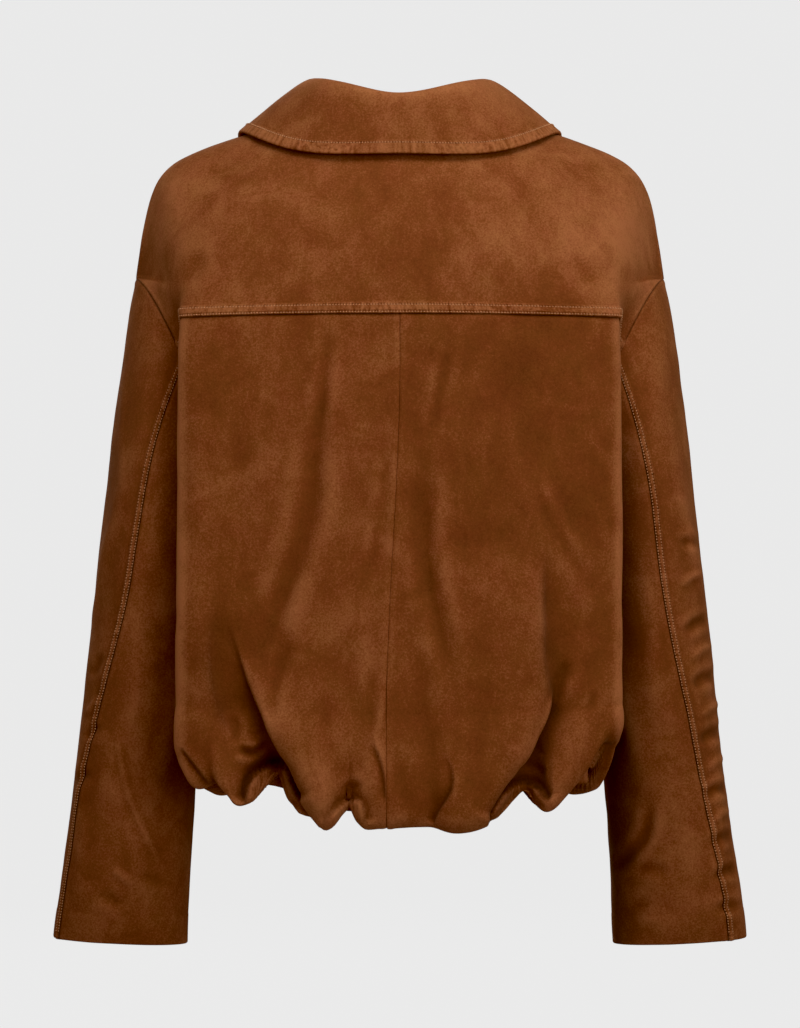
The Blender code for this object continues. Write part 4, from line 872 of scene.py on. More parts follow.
def lip_mask(x, z, table):
    """Where the lips in a table of overlaps lie."""
    total = np.zeros(x.shape)
    for away, share, _, _ in each_overlap(x, z, table):
        ends = ease(*LIP_GROWS, share) * (1 - ease(*LIP_DIES, share))
        total = np.maximum(total, ends * ease(0.0, LIP_EDGE, away) * (1 - ease(*LIP_END, away)))
    return total


def trough_lift(x, z, table):
    """How far the troughs and ridges lift the cloth."""
    total = np.zeros(x.shape)
    for path, *sizes in table:
        depth, width, shoulder = np.array(sizes) / MM
        away, share = from_path(x, z, path)
        strength = ease(0, TROUGH_FADE, share) * (1 - ease(1 - TROUGH_FADE, 1, share))
        raised = np.exp(-(((np.abs(away) - 2 * width) / width) ** 2))
        total += strength * (shoulder * raised - depth * np.exp(-((away / width) ** 2)))
    return total


def slack(grid, seed, strength=1.0):
    """The leather's own unevenness."""
    return strength * sum(height * soft_noise(grid, size, seed + k) for k, (height, size) in enumerate(SLACK))


def patch_tone_and_light(grid):
    """How much paler or darker the larger patches are painted: partly nap tone, partly painted light and shade.
    """
    x, z = grid[..., 0] * MM, grid[..., 2] * MM
    return sum(
        strength * np.exp(-(((x - middle_x) ** 2 + (z - middle_z) ** 2) / size**2))
        for middle_x, middle_z, size, strength in TONE_AND_LIGHT_PATCHES
    )


# ---- Seams and edges ----
def rolled(distance, radius):
    """How far a face draws back at a turned edge of that radius."""
    near = np.clip(radius - distance, 0, radius)
    return radius - np.sqrt(radius**2 - near**2)


def plain_seam(distance, along, seed):
    """Lift beside a seam sewn right sides together: a valley, and a soft ridge over the turned allowance."""
    seam = bpy.context.scene.jacket_stitching
    pucker = 1 + SEAM_PUCKER * soft_noise(points(along, distance * 0, 0 * along), SEAM_PUCKER_SIZE, seed)
    ridge = seam.seam_ridge * np.exp(-(((distance - RIDGE_AWAY) / RIDGE_WIDTH) ** 2)) * pucker
    return ridge - rolled(distance, seam.seam_roll)


def stitched_band(distance, along, rows, seed):
    """Lift, press and stitching of an edge folded under and stitched down in rows."""
    seam = bpy.context.scene.jacket_stitching
    inside = 1 - ease(rows[-1], rows[-1] + BAND_EDGE, distance)
    pucker = soft_noise(points(along, distance * BAND_ACROSS, 0 * along), BAND_PUCKER_SIZE, seed)
    lift = inside * (seam.band_height + BAND_PUCKER * pucker) - rolled(distance, BAND_ROLL)
    sewn = sum(row_of_needles(distance, row) for row in rows)
    return lift - seam.stitch_sink * sewn, inside, sewn


def row_of_needles(distance, row):
    """How far a row of stitches draws the suede in, as a share."""
    return np.exp(-(((distance - row) / NEEDLE_WIDTH) ** 2))


def seam_foot(away, edges):
    """How far the foot of a stitched seam is in shade, at the named edges."""
    seam = bpy.context.scene.jacket_stitching
    return np.max([seam.seam_shade * np.exp(-((away[edge] / seam.seam_dark) ** 2)) for edge in edges], axis=0)


# ---- Making meshes ----
def new_piece(name, corners, faces, material):
    """A smooth mesh that rides on the jacket's body, in one of its colour slots."""
    mesh = bpy.data.meshes.new(name)
    mesh.from_pydata(np.asarray(corners).tolist(), [], faces)
    mesh.materials.append(material)
    mesh.shade_smooth()
    made = bpy.data.objects.new(name, mesh)
    bpy.context.scene.collection.objects.link(made)
    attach(made, "root")
    return made


def side_faces(first, rings, sides):
    """The faces between rings of corners that follow each other from the first corner on."""
    faces = []
    for start in range(first, first + (rings - 1) * sides, sides):
        for j in range(sides):
            a, b = start + j, start + (j + 1) % sides
            faces.append((b, a, a + sides, b + sides))
    return faces


def add_tube(corners, centres, radii, across, up, sides):
    """Adds a tube's rings of corners to a list, and returns the faces of its side."""
    first = len(corners)
    turns = np.linspace(0, 2 * math.pi, sides + 1)[:-1]
    for centre, radius in zip(centres, radii):
        corners += [centre + radius * (across * math.cos(turn) + up * math.sin(turn)) for turn in turns]
    return side_faces(first, len(centres), sides)


def lining_lines(count):
    """The lines of a shell's grid that its inside keeps: two by each edge, and every second one between."""
    return np.unique(np.concatenate([(0, 1), np.arange(2, count - 2, 2), (count - 2, count - 1)]))


def inside_lift(lift):
    """How far a shell's inside is lifted. It follows the outside, and stays under it at the steepest fold."""
    padded = np.pad(lift, 1, mode="edge")
    return np.lib.stride_tricks.sliding_window_view(padded, (3, 3)).min((-1, -2))


def grid_faces(index):
    """The quads between the corners of a grid."""
    quads = np.stack([index[:-1, :-1], index[1:, :-1], index[1:, 1:], index[:-1, 1:]], axis=-1)
    return quads.reshape(-1, 4).tolist()


def loop_round(grid):
    """The outline of a grid, once round."""
    return np.concatenate([grid[:-1, 0], grid[-1, :-1], grid[:0:-1, -1], grid[0, :0:-1]])


def shell(name, grid, facing, lift, thickness, turned=(), tone=0.0, **marks):
    """One closed shell of suede, and the points and normals of its face. Its free, turned edges are round
    across its whole thickness. The marks are what its material reads: pressed, along, sewn and shaded."""
    normals = grid_normals(grid, facing)
    distance = edge_distances(grid)
    drawn = sum(rolled(distance[edge], thickness / 2) for edge in turned) + 0 * lift
    outer = grid + normals * (lift - drawn)[..., None]
    kept = np.ix_(lining_lines(grid.shape[0]), lining_lines(grid.shape[1]))
    inner = (grid + normals * (inside_lift(lift) - thickness + drawn)[..., None])[kept]
    # Painted shade in hollows and painted highlight on ridges
    hollow = 0.0
    for rounds, full in HOLLOWS:
        depth = ((smoothed(outer, rounds) - outer) * normals).sum(-1)
        hollow = hollow + np.clip(depth / full, -1, 1) * HOLLOW_SHARE
    index = np.arange(lift.size).reshape(lift.shape)
    below = lift.size + np.arange(inner.size // 3).reshape(inner.shape[:2])
    faces = grid_faces(index) + [face[::-1] for face in grid_faces(below)]
    border, low_border = loop_round(index).tolist(), loop_round(below).tolist()
    shared = [border.index(point) for point in loop_round(index[kept])] + [len(border)]
    border, low_border = border + border[:1], low_border + low_border[:1]
    for k, (first, last) in enumerate(zip(shared, shared[1:])):
        faces.append([*border[first : last + 1][::-1], low_border[k], low_border[k + 1]])
    if facing < 0:
        faces = [face[::-1] for face in faces]
    corners = np.concatenate([outer.reshape(-1, 3), inner.reshape(-1, 3)])
    made = new_piece(name, corners, faces, material("calf_suede_brushed", napped_suede))
    # The tone mark holds the nap's own tone and painted light and shade: patches, piece tones, crest highlight
    for label, values in {"hollow": hollow, "tone": tone + patch_tone_and_light(grid), **marks}.items():
        values = np.broadcast_to(values, lift.shape)
        both = np.concatenate([values.reshape(-1), values[kept].reshape(-1)]).astype(np.float32)
        made.data.attributes.new(label, "FLOAT", "POINT").data.foreach_set("value", both)
    return made, (outer, normals)


def line_beside(face, along, edge, away, start, end):
    """The points and normals beside an edge of a shell's face, so far inside it, and how far along each is.
    The stretches named at its start and end are left out."""
    distance = edge_distances(face[0])[edge]
    known = np.concatenate([*face, along[..., None]], axis=-1)
    if edge[0] == "u":
        known, distance = known.swapaxes(0, 1), distance.swapaxes(0, 1)
    found = []
    for values, run in zip(known, distance):
        order = np.argsort(run)
        found.append([np.interp(away, run[order], column[order]) for column in values.T])
    found = np.array(found)
    run = found[:, 6]
    keep = (run >= start) & (run <= run[-1] - end)
    return found[keep, :3], unit(found[keep, 3:6]), run[keep]


def stitch_rows(name, face, along, edge, rows, start, end):
    """Rows of stitches beside an edge: short threads that dip into the cloth at both ends."""
    size = bpy.context.scene.jacket_stitching
    shares = np.linspace(-1, 1, len(STITCH_RADII))
    radii = size.thread_width / 2 * np.array(STITCH_RADII)
    heights = size.thread_width * np.array(STITCH_HEIGHTS)
    pitch = size.stitch_length + size.stitch_gap
    corners, faces = [], []
    for places, facings, run in (line_beside(face, along, edge, row, start, end) for row in rows):
        for middle in pitch * (np.arange(math.ceil(run[0] / pitch), math.floor(run[-1] / pitch)) + 0.5):
            marks = middle + shares * size.stitch_length / 2
            at = np.stack([np.interp(marks, run, places[:, k]) for k in range(3)], axis=-1)
            up = unit(np.array([np.interp(middle, run, facings[:, k]) for k in range(3)]))
            forward = unit(at[-1] - at[0])
            across = unit(np.cross(forward, up))
            up = np.cross(across, forward)
            faces += add_tube(corners, at + up * heights[:, None], radii, across, up, STITCH_SIDES)
            count = len(corners)
            first = count - len(shares) * STITCH_SIDES
            faces.append(tuple(range(first, first + STITCH_SIDES)))
            faces.append(tuple(reversed(range(count - STITCH_SIDES, count))))
    return new_piece(name, corners, faces, material("polyester_thread_spun", sewing_thread))


# ---- Materials ----
MULTIPLY, SUBTRACT, MULTIPLY_ADD = ({"operation": kind} for kind in ("MULTIPLY", "SUBTRACT", "MULTIPLY_ADD"))
# How much darker the thread is between its twists
THREAD_SHADE = 0.72


def linear(code):
    """The linear colour of an sRGB hex code."""
    parts = [int(code[i : i + 2], 16) / 255 for i in (1, 3, 5)]
    return tuple(part / 12.92 if part <= 0.04045 else ((part + 0.055) / 1.055) ** 2.4 for part in parts)


def add(tree, kind, settings=None, **inputs):
    """Adds a node with its settings. An input is a value or another node's output, named in lower case, with
    an underscore more for each earlier input of the same name."""
    made = tree.nodes.new(kind)
    for name, value in (settings or {}).items():
        setattr(made, name, value)
    for name, value in inputs.items():
        plain = name.rstrip("_")
        alike = [s for s in made.inputs if s.enabled and s.name.lower().replace(" ", "_") == plain]
        socket = alike[len(name) - len(plain)]
        if isinstance(value, bpy.types.NodeSocket):
            tree.links.new(value, socket)
        else:
            socket.default_value = (*value, 1.0) if socket.type == "RGBA" and len(value) == 3 else value
    return made


def material(name, fill):
    """The named material. The first time, fill adds its nodes and returns its shader."""
    made = bpy.data.materials.get(name)
    if not made:
        made = bpy.data.materials.new(name)
        made.use_nodes = True
        made.node_tree.nodes.clear()
        shader = fill(made.node_tree)
        add(made.node_tree, "ShaderNodeOutputMaterial", surface=shader.outputs[0])
    return made


def colour_stops(ramp, *stops):
    """Gives a ramp its colours, each with its place."""
    found = ramp.color_ramp.elements
    while len(found) < len(stops):
        found.new(0.5)
    for stop, (place, shade) in zip(found, stops):
        stop.position, stop.color = place, (*shade, 1.0)


def napped_suede(tree):
    """Calf suede, split and brushed to a nap. The nap lies in soft patches and drags that catch the light
    differently, darker where folds shade it and paler where seams press it, with a dull fibrous surface."""
    look, stitching = facts()
    place = add(tree, "ShaderNodeTexCoord").outputs["Object"]
    along, pressed, hollow, tone, sewn, shaded = (
        add(tree, "ShaderNodeAttribute", {"attribute_name": name}).outputs["Fac"]
        for name in ("along", "pressed", "hollow", "tone", "sewn", "shaded")
    )
    hung = add(tree, "ShaderNodeMapping", vector=place, scale=(1.0, 1.0, 0.55)).outputs[0]
    ribs_at = add(tree, "ShaderNodeCombineXYZ", x=along, y=tone, z=0.0).outputs[0]
    patches, drags, fibres, ribs, dye = (
        add(
            tree,
            "ShaderNodeTexNoise",
            vector=at,
            scale=1 / size,
            detail=detail,
            roughness=rough,
            distortion=wander,
        ).outputs[0]
        for at, size, detail, rough, wander in (
            (place, look.nap_patch, 4.0, 0.6, 0.6),
            (hung, look.nap_drag, 6.0, 0.62, 0.8),
            (place, look.fibre, 3.0, 0.75, 0.0),
            (ribs_at, look.pucker, 1.0, 0.4, 0.0),
            (place, look.hue_patch, 3.0, 0.6, 0.0),
        )
    )
    centred = add(tree, "ShaderNodeMath", SUBTRACT, value=ribs, value_=0.5).outputs[0]
    ribbing = add(tree, "ShaderNodeMath", MULTIPLY, value=centred, value_=pressed).outputs[0]
    nap = tone
    # The hollow mark paints shade into folds' hollows and highlight onto their ridges
    for part, share in (
        (patches, PATCH_SHARE),
        (drags, DRAG_SHARE),
        (fibres, FIBRE_SHARE),
        (hollow, -look.fold_shade),
        (pressed, look.press_pale),
        (ribbing, RIB_SHARE),
    ):
        nap = add(tree, "ShaderNodeMath", MULTIPLY_ADD, value=part, value_=share, value__=nap).outputs[0]
    ramp = add(tree, "ShaderNodeValToRGB", fac=nap)
    colour_stops(ramp, (DARK_AT, look.dark), (MIDDLE_AT, look.middle), (LIGHT_AT, look.light))
    # The needle holes lie between the stitches, so they come at every pitch along a sewn row
    pitch = stitching.stitch_length + stitching.stitch_gap
    swing = add(tree, "ShaderNodeMath", {"operation": "PINGPONG"}, value=along, value_=pitch / 2).outputs[0]
    near = add(
        tree,
        "ShaderNodeMapRange",
        value=swing,
        from_min=0.0,
        from_max=stitching.hole_size,
        to_min=1.0,
        to_max=0.0,
    ).outputs[0]
    holes = add(tree, "ShaderNodeMath", MULTIPLY, value=near, value_=sewn).outputs[0]
    # Painted shade: the shaded mark darkens deep folds' edges, seams' feet and the sleeves by the body, and the
    # needle holes are painted dark as shade
    value = 1.0
    for part, shade in ((shaded, -look.crease_shade), (holes, -stitching.hole_shade)):
        value = add(tree, "ShaderNodeMath", MULTIPLY_ADD, value=part, value_=shade, value__=value).outputs[0]
    hue = add(
        tree, "ShaderNodeMapRange", value=dye, from_min=0.3, from_max=0.7, to_min=HUE_FROM, to_max=HUE_TO
    ).outputs[0]
    coloured = add(tree, "ShaderNodeHueSaturation", hue=hue, value=value, color=ramp.outputs[0])
    felt = add(tree, "ShaderNodeMath", MULTIPLY_ADD, value=drags, value_=FELT_DRAGS, value__=fibres)
    felt = add(tree, "ShaderNodeMath", SUBTRACT, value=felt.outputs[0], value_=holes).outputs[0]
    bumps = add(tree, "ShaderNodeBump", height=felt, strength=0.6, distance=look.fibre_depth).outputs[0]
    ribbed = add(
        tree, "ShaderNodeBump", height=ribbing, strength=1.0, distance=look.pucker_depth, normal=bumps
    )
    return add(
        tree,
        "ShaderNodeBsdfPrincipled",
        base_color=coloured.outputs[0],
        roughness=0.93,
        ior=1.45,
        specular_ior_level=0.18,
        sheen_weight=look.sheen,
        sheen_roughness=0.48,
        sheen_tint=tuple(look.sheen_colour),
        normal=ribbed.outputs[0],
    )


def sewing_thread(tree):
    """Spun polyester sewing thread, dyed to match: a little paler and smoother than the nap round it."""
    look = bpy.context.scene.jacket_stitching
    place = add(tree, "ShaderNodeTexCoord").outputs["Object"]
    twist = add(tree, "ShaderNodeTexNoise", vector=place, scale=1 / look.twist, detail=2.0).outputs[0]
    ramp = add(tree, "ShaderNodeValToRGB", fac=twist)
    colour_stops(ramp, (0.3, [THREAD_SHADE * part for part in look.thread_colour]), (0.7, look.thread_colour))
    bumps = add(tree, "ShaderNodeBump", height=twist, strength=0.4, distance=0.0002)
    return add(
        tree,
        "ShaderNodeBsdfPrincipled",
        base_color=ramp.outputs[0],
        roughness=0.85,
        specular_ior_level=0.2,
        normal=bumps.outputs[0],
    )


def polished_horn(tree):
    """Buffalo horn, turned and polished: near black with warm brown streaks, and a clear gloss."""
    look = bpy.context.scene.jacket_buttons
    place = add(tree, "ShaderNodeTexCoord").outputs["Object"]
    long_grain = add(
        tree, "ShaderNodeMapping", vector=place, scale=(1.0, 1.0, 0.3), rotation=(0.0, 0.5, 0.0)
    ).outputs[0]
    streaks = add(
        tree,
        "ShaderNodeTexNoise",
        vector=long_grain,
        scale=1 / look.grain,
        detail=5.0,
        roughness=0.6,
        distortion=1.4,
    ).outputs[0]
    ramp = add(tree, "ShaderNodeValToRGB", fac=streaks)
    colour_stops(ramp, (0.40, look.dark), (0.72, look.streak))
    bumps = add(tree, "ShaderNodeBump", height=streaks, strength=0.1, distance=0.0002)
    return add(
        tree,
        "ShaderNodeBsdfPrincipled",
        base_color=ramp.outputs[0],
        roughness=0.26,
        ior=1.54,
        coat_weight=0.3,
        normal=bumps.outputs[0],
    )


def pale_paper(tree):
    """Matt pale paper. Its even glow keeps the ground one tone behind the jacket."""
    look = bpy.context.scene.jacket_studio
    place = add(tree, "ShaderNodeTexCoord").outputs["Object"]
    pulp = add(tree, "ShaderNodeTexNoise", vector=place, scale=1 / look.pulp, detail=2.0).outputs[0]
    bumps = add(tree, "ShaderNodeBump", height=pulp, strength=0.02, distance=0.001)
    return add(
        tree,
        "ShaderNodeBsdfPrincipled",
        base_color=(0.02, 0.02, 0.02),
        roughness=1.0,
        specular_ior_level=0.0,
        emission_color=tuple(look.ground),
        emission_strength=1.0,
        normal=bumps.outputs[0],
    )


# ---- What a user may change ----
def amount(name, description, default, low=0.0, **rest):
    return FloatProperty(name=name, description=description, default=default, min=low, **rest)


def length(name, description, default, low=0.0):
    return amount(name, description, default, low, unit="LENGTH", precision=5)


def fraction(name, description, default):
    return amount(name, description, default, max=1.0)


def colour(name, description, code):
    return FloatVectorProperty(
        name=name, description=description, default=linear(code), size=3, min=0.0, max=1.0, subtype="COLOR"
    )


class JacketStitching(bpy.types.PropertyGroup):
    stitch_length: length("Stitch length", "How much of each stitch shows", 0.0017)
    stitch_gap: length("Stitch gap", "The gap between two stitches", 0.0007)
    hole_size: length("Needle hole", "How far round a needle hole the suede is drawn into shade", 0.0007)
    thread_width: length("Thread width", "The thickness of the topstitching thread", 0.00092)
    stitch_sink: length("Stitch sink", "How deep a row of stitches draws in the suede", 0.0006)
    seam_ridge: length("Seam ridge", "The height of the turned allowance beside a plain seam", 0.00045)
    seam_roll: length("Seam roll", "How deep the suede rolls into a plain seam", 0.00035)
    seam_gap: length("Seam gap", "The open gap between two pieces at a seam", 0.00008)
    seam_shade: fraction("Seam shade", "How dark the foot of a stitched seam is", 0.9)
    seam_dark: length("Seam dark", "How far that dark reaches from the seam", 0.0011)
    hole_shade: fraction("Hole shade", "How dark the needle holes are", 0.6)
    band_height: length("Band height", "How far a stitched, folded edge stands up", 0.0013)
    yoke_near: length("Yoke's lower row", "From the yoke's edge to its first row of stitches", 0.0016)
    yoke_far: length("Yoke's upper row", "From the yoke's edge to its second row of stitches", 0.0076)
    sleeve_near: length("Sleeve's near row", "From the sleeve seam to its first row of stitches", 0.0013)
    sleeve_far: length("Sleeve's far row", "From the sleeve seam to its second row of stitches", 0.0050)
    collar_row: length("Collar's row", "From the collar's edge to its row of stitches", 0.0095)
    front_row: length("Front's row", "From the front edge to its row of stitches", 0.0055)
    twist: length("Thread twist", "The size of the lumps that the thread's twist makes", 0.0012)
    thread_colour: colour("Thread", "The topstitching thread's colour", "#DFA274")


class JacketSuede(bpy.types.PropertyGroup):
    thickness: length("Suede thickness", "The thickness of one layer", 0.0020)
    collar_thickness: length("Collar thickness", "The thickness of the collar's two layers", 0.0026)
    step: length("Grid step", "The distance between the points of a shell", 0.0022)
    hem_step: length("Hem grid step", "The distance between the points round the hem", 0.0015)
    dark: colour("Nap, dark", "The colour where the nap lies away from the light", "#6A3917")
    middle: colour("Nap, middle", "The main colour of the nap", "#894A22")
    light: colour("Nap, light", "The colour where the nap catches the light", "#B87347")
    sheen_colour: colour("Sheen", "The tint of the light that grazes the nap", "#D69A66")
    sheen: fraction("Sheen amount", "How much the nap glows at grazing angles", 0.3)
    # Painted shade and highlight: how much the folds' hollows are painted darker and their ridges paler
    fold_shade: fraction("Fold shade", "How much folds darken the nap", 0.14)
    crease_shade: fraction("Crease shade", "How dark the edge of a deep fold is", 0.7)
    # Painted highlight: how much paler the turn of each side is painted, standing for light grazing the crest
    crest_highlight: fraction("Rubbed pale", "How much the rubbed turn of each side pales the nap", 0.11)
    hue_patch: length("Hue patch", "The size of the patches in which the dye took redder or yellower", 0.022)
    press_pale: fraction("Pressed pale", "How much stitching pales the nap", 0.07)
    nap_patch: length("Nap patch", "The size of the patches in which the nap lies", 0.045)
    nap_drag: length("Nap drag", "The width of the brushed drags in the nap", 0.014)
    fibre: length("Fibre clump", "The size of the fibre clumps, drawn coarse enough to see", 0.0015)
    fibre_depth: length("Fibre depth", "The depth of the fibrous surface", 0.0005)
    pucker: length("Pucker", "The spacing of the puckers between rows of stitches", 0.0032)
    pucker_depth: length("Pucker depth", "The depth of those puckers", 0.0009)


class JacketButtons(bpy.types.PropertyGroup):
    dark: colour("Horn", "The horn's main colour", "#24150E")
    streak: colour("Horn streak", "The colour of the horn's streaks", "#5E3A22")
    grain: length("Horn grain", "The width of the horn's streaks", 0.004)
    hole_radius: length("Hole radius", "The radius of each of the four holes", 0.00095)
    hole_spread: length("Hole spread", "From the middle of the button to each hole", 0.0024)
    hole_depth: length("Hole depth", "The depth of each hole", 0.0016)


class JacketStudio(bpy.types.PropertyGroup):
    ground: colour("Ground", "The colour of the floor and backdrop", "#E9E9E9")
    floor: length("Floor", "The floor's height", -1.0, -10.0)
    wall: length("Wall", "From the jacket to the wall round it", 6.0)
    pulp: length("Paper grain", "The size of the lumps in the paper", 0.025)
    room_colour: colour("Room colour", "The tint of the light from all round", "#FFE6CC")
    camera_distance: length("Camera distance", "From the jacket's middle to the camera", 3.2)
    camera_height: length("Camera height", "The height that the camera stands at", -0.3287, -10.0)
    lens: amount("Lens", "Focal length in millimetres", 135.0, 10.0)
    key_power: amount("Key power", "Power of the large light above the camera", 17.0)
    fill_power: amount("Fill power", "Power of the light on the camera's right", 22.0)
    edge_power: amount("Edge power", "Power of the light on the camera's left", 4.0)
    front_power: amount("Front power", "Power of the light on the jacket's front", 26.0)
    black_level: amount("Black level", "The light that prints as black", 0.005)
    room: amount("Room light", "Strength of the light from all round", 0.14)


# ---- Pieces ----
def facts():
    """The settings of the suede and of its stitching."""
    scene = bpy.context.scene
    return scene.jacket_suede, scene.jacket_stitching


def make_yoke():
    """The yoke, its lower edge folded under and stitched down over the back."""
    suede, stitching = facts()
    dense_rows, dense_u = np.linspace(NECK, YOKE_SEAM, 300), np.linspace(0, 1, 300)
    down = stations(dense_rows, body("back", 1, BODY_SHARE, dense_rows), suede.step, end=STITCH_LINES)
    across = stations(dense_u, body("back", 1, dense_u, YOKE_ROW), suede.step, start=NO_LINES)
    left = body("back", 1, *np.meshgrid(across, down, indexing="ij"))
    right = body("back", -1, *np.meshgrid(across[:0:-1], down, indexing="ij"))
    grid = drawn_in(np.concatenate([right, left]), ("u0", "u1", "v0", "v1"))
    away = edge_distances(grid)
    along = away["u0"][:, -1:] + 0 * away["u0"]
    rows = (stitching.yoke_near, stitching.yoke_far)
    band, pressed, sewn = stitched_band(away["v1"], along, rows, seed=11)
    lift = band + slack(grid, seed=21) + trough_lift(grid[..., 0], grid[..., 2], BACK_TROUGHS)
    for edge in ("u0", "u1", "v0"):
        lift += plain_seam(away[edge], away["v0"] if edge[0] == "u" else along, seed=12)
    piece, face = shell(
        "yoke_suede", grid, 1, lift, suede.thickness, tone=YOKE_TONE, pressed=pressed, along=along, sewn=sewn
    )
    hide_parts("yoke")
    thread = stitch_rows("yoke_topstitching", face, along, "v1", rows, start=0.002, end=0.002)


def gathers(grid, row, seed):
    """The small folds of the hem where it is drawn up onto its band."""
    wander = GATHER_WANDER * soft_noise(grid * GATHER_TURNS, GATHER_SIZE, seed)
    wave = np.sin(2 * math.pi * edge_distances(grid)["u0"] / GATHER_PITCH + wander)
    return GATHER_HEIGHT * ease(*GATHERS_START, row) * wave


def panel_grid(half, side, u, start_row, upper_step, hem_step):
    """A panel's grid of points down to the hem's inner edge, finer round the hem, and each point's row."""
    dense_upper, dense_hem = np.linspace(start_row, BLOUSE, 400), np.linspace(BLOUSE, HEM_END, 200)
    upper = stations(dense_upper, body(half, side, BODY_SHARE, dense_upper), upper_step, end=NO_LINES)
    hem = stations(dense_hem, body(half, side, BODY_SHARE, dense_hem), hem_step, start=NO_LINES)
    u, row = np.meshgrid(u, np.concatenate([upper, hem[1:]]), indexing="ij")
    return body(half, side, u, row), row


def make_back(side, word):
    """One back panel, from the yoke's seam to where the hem meets its band."""
    suede, _ = facts()
    dense = np.linspace(0, 1, 400)
    u = stations(dense, body("back", side, dense, PANEL_ROW), suede.hem_step)
    grid, row = panel_grid("back", side, u, YOKE_SEAM, suede.step, suede.hem_step)
    grid = drawn_in(grid, ("u0", "u1", "v0", "v1"))
    away = edge_distances(grid)
    x, z = grid[..., 0], grid[..., 2]
    folded = overlap_lift(x, z, BACK_OVERLAPS) + trough_lift(x, z, BACK_TROUGHS)
    lift = (1 - ease(*BACK_FINE_END, row)) * folded + slack(grid, seed=31 + side)
    lift += (1 - ease(*LIPS_END, row)) * overlap_lift(x, z, HEM_LIPS)
    lift += gathers(grid, row, seed=41) - YOKE_DRAW * np.exp(-((away["v0"] / YOKE_REACH) ** 2))
    lift += plain_seam(away["u0"], away["v0"], seed=13) + plain_seam(away["u1"], away["v0"], seed=14)
    pressed = np.maximum(ease(*LIPS_END, row), (row < LIP_PRESS_END) * lip_mask(x, z, HEM_LIPS))
    under_folds = np.maximum(fold_dark(x, z, BACK_OVERLAPS), fold_dark(x, z, HEM_LIPS)) * (row < SHADE_END)
    # The tone holds a painted highlight along each side's crest; shaded holds painted shade under folds and at
    # the yoke seam
    piece, _ = shell(
        f"back_{word}_suede", grid, side, lift, suede.thickness,
        tone=BACK_TONE * side + suede.crest_highlight * ease(*CREST_HIGHLIGHT, np.abs(x)),
        pressed=pressed, along=away["u0"], shaded=np.maximum(under_folds, seam_foot(away, ("v0",))),
    )
    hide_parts(f"back_{word}")


def make_front(side, word):
    """One front, from the neck to where the hem meets its band, with a row of stitches down its edge."""
    suede, stitching = facts()
    dense = np.concatenate([np.linspace(-1, 0, 20)[:-1], np.linspace(0, 1, 380)])
    u = stations(dense, body("front", side, dense, PANEL_ROW), suede.hem_step * FRONT_ACROSS)
    grid, row = panel_grid("front", side, u, NECK, suede.step * FRONT_DOWN, suede.hem_step * FRONT_DOWN)
    grid = drawn_in(grid, ("u1", "v0", "v1"))
    away = edge_distances(grid)
    x, z = grid[..., 0], grid[..., 2]
    fade = 1 - ease(*FRONT_FINE_END, row)
    lift = fade * (overlap_lift(x, z, FRONT_OVERLAPS) + trough_lift(x, z, FRONT_TROUGHS))
    lift += slack(grid, seed=51 + side)
    lift *= 1 - ease(*FRONT_CALM, np.abs(x))
    lift += gathers(grid, row, seed=61) + plain_seam(away["u1"], away["v0"], seed=15)
    at = stitching.front_row
    sewn = row_of_needles(away["u0"], at)
    lift -= stitching.stitch_sink * sewn
    pressed = np.maximum(ease(*LIPS_END, row), FRONT_PRESS * (1 - ease(at, at + PRESS_BEYOND, away["u0"])))
    piece, face = shell(
        f"front_{word}_suede", grid, -side, lift, suede.thickness, ("u0",), tone=-BACK_TONE * side,
        pressed=pressed, along=away["v0"], sewn=sewn, shaded=fold_dark(x, z, FRONT_OVERLAPS) * fade,
    )
    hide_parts(f"front_{word}")
    thread = stitch_rows(f"front_{word}_topstitching", face, away["v0"], "u0", (at,), start=0.004, end=0.05)


def seam_turns(side, part, row):
    """The turns between which a sleeve piece runs at a row, in degrees."""
    top = [curve_through(ARMHOLE_ROWS, ARMHOLE_TURN, at) for at in (BACK_SEAM_AT, FRONT_SEAM_AT)]
    table = np.vstack([(top[0], top[0], 360 - top[1]), SLEEVE_ROWS[:, 5:]])
    left, right, front = np.moveaxis(curve_through(range(len(table)), table, row), -1, 0)
    back = left if side > 0 else right
    return (front - 360, back) if part == "top" else (back, front)


